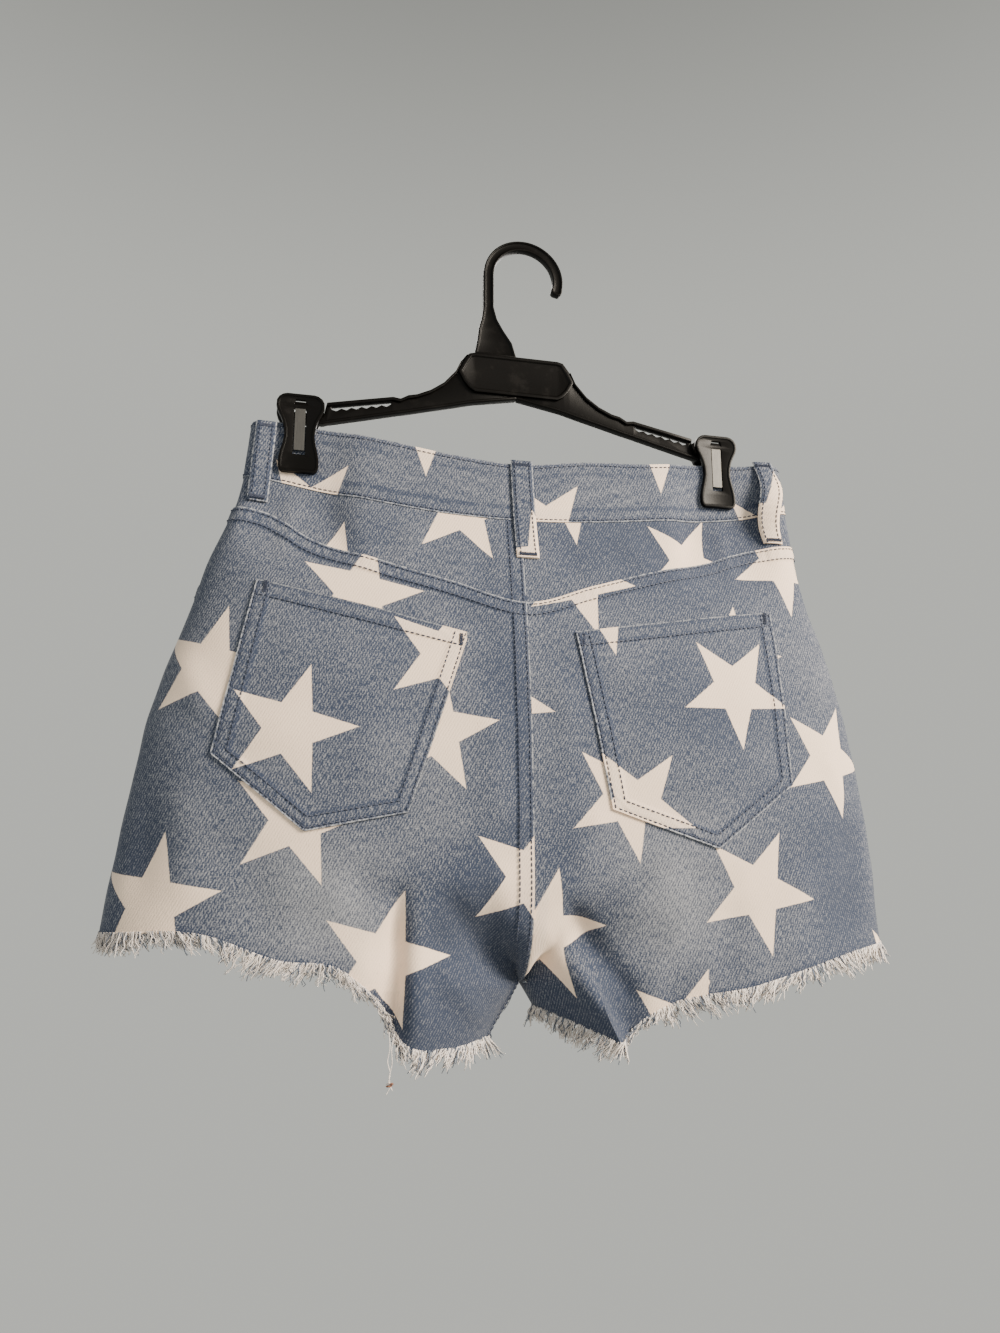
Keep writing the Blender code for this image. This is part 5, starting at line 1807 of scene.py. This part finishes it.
button.name = button.data.name = "button_cap"


def brass_finish():
    finish = Finish("old_brass", (0.46, 0.36, 0.22), 0.35, metallic=1.0)
    where = finish.node("TexCoord").outputs["Object"]
    tarnish = finish.span(finish.noise(where, 3 * MM, 4.0, 0.7), 0.4, 0.7)
    finish.feed("Base Color", finish.mix(tarnish, (0.50, 0.39, 0.25), (0.22, 0.16, 0.10)))
    finish.feed("Roughness", finish.span(tarnish, 0.0, 1.0, 0.28, 0.5))
    finish.bump(tarnish, 0.05 * MM, 0.4)
    return finish.material


finished(button, brass_finish(), "button")

# %% [markdown]
# ## Floor and light
#
# The floor is plain and pale, fades out at its edge and lies well below, because the shorts
# hang. Soft light comes from a large warm panel at the right, as from a window, with a weak one
# at the left and one behind, so that the other sides are never black. The world's pale colour
# is the background.

# %% Stage
FLOOR_Z, FLOOR_RADIUS = -1150, 1300
bpy.ops.mesh.primitive_circle_add(vertices=96, radius=FLOOR_RADIUS * MM, fill_type="NGON",
                                  location=(0, 0, FLOOR_Z * MM))
floor = bpy.context.object
floor.name = "floor"
paint = Finish("floor_paint", (0.42, 0.43, 0.41), 0.9)
reach = paint.node("VectorMath", {0: paint.node("TexCoord").outputs["Object"]}, operation="LENGTH")
paint.feed("Alpha", paint.span(reach.outputs["Value"], 0.1 * FLOOR_RADIUS * MM,
                               0.95 * FLOOR_RADIUS * MM, 1.0, 0.0))
floor.data.materials.append(paint.material)

LIGHTS = {  # place in mm, size in mm, watts, colour
    "key": ((1250, -1000, 450), 700, 90, (1.0, 0.90, 0.77)),
    "fill": ((-1200, -1100, 100), 1400, 4, (0.90, 0.95, 1.0)),
    "behind": ((500, 1500, 500), 1400, 30, (1.0, 0.95, 0.90)),
}
for name, (place_mm, size_mm, watts, colour) in LIGHTS.items():
    light = bpy.data.lights.new(name, "AREA")
    light.size, light.energy, light.color = size_mm * MM, watts, colour
    lamp = bpy.data.objects.new(name, light)
    lamp.location = [v * MM for v in place_mm]
    aim = np.array([0, 0, -320.0]) - place_mm
    lamp.rotation_euler = (math.atan2(math.hypot(aim[0], aim[1]), -aim[2]), 0,
                           math.atan2(aim[1], aim[0]) - math.pi / 2)
    bpy.context.scene.collection.objects.link(lamp)

world = bpy.data.worlds.new("pale_room")
world.use_nodes = True
nodes, links = world.node_tree.nodes, world.node_tree.links
height = nodes.new("ShaderNodeSeparateXYZ")
links.new(nodes.new("ShaderNodeTexCoord").outputs["Generated"], height.inputs[0])
fall = nodes.new("ShaderNodeMapRange")
fall.interpolation_type = "SMOOTHSTEP"
for name, value in (("From Min", 0.45), ("From Max", 0.95), ("To Min", 1.0), ("To Max", 0.25)):
    fall.inputs[name].default_value = value
steep = nodes.new("ShaderNodeMath")
steep.operation = "ABSOLUTE"
links.new(height.outputs["Z"], steep.inputs[0])
links.new(steep.outputs[0], fall.inputs["Value"])
background = nodes["Background"]
background.inputs["Color"].default_value = (0.57, 0.575, 0.535, 1)
links.new(fall.outputs["Result"], background.inputs["Strength"])
bpy.context.scene.world = world
print(len(LIGHTS), "lights")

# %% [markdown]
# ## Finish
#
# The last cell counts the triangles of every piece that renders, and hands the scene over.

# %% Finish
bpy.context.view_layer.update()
triangles = sum(len(p.vertices) - 2 for o in bpy.context.scene.objects
                if o.type == "MESH" and not o.hide_render for p in o.data.polygons)
print("triangles in all:", triangles)
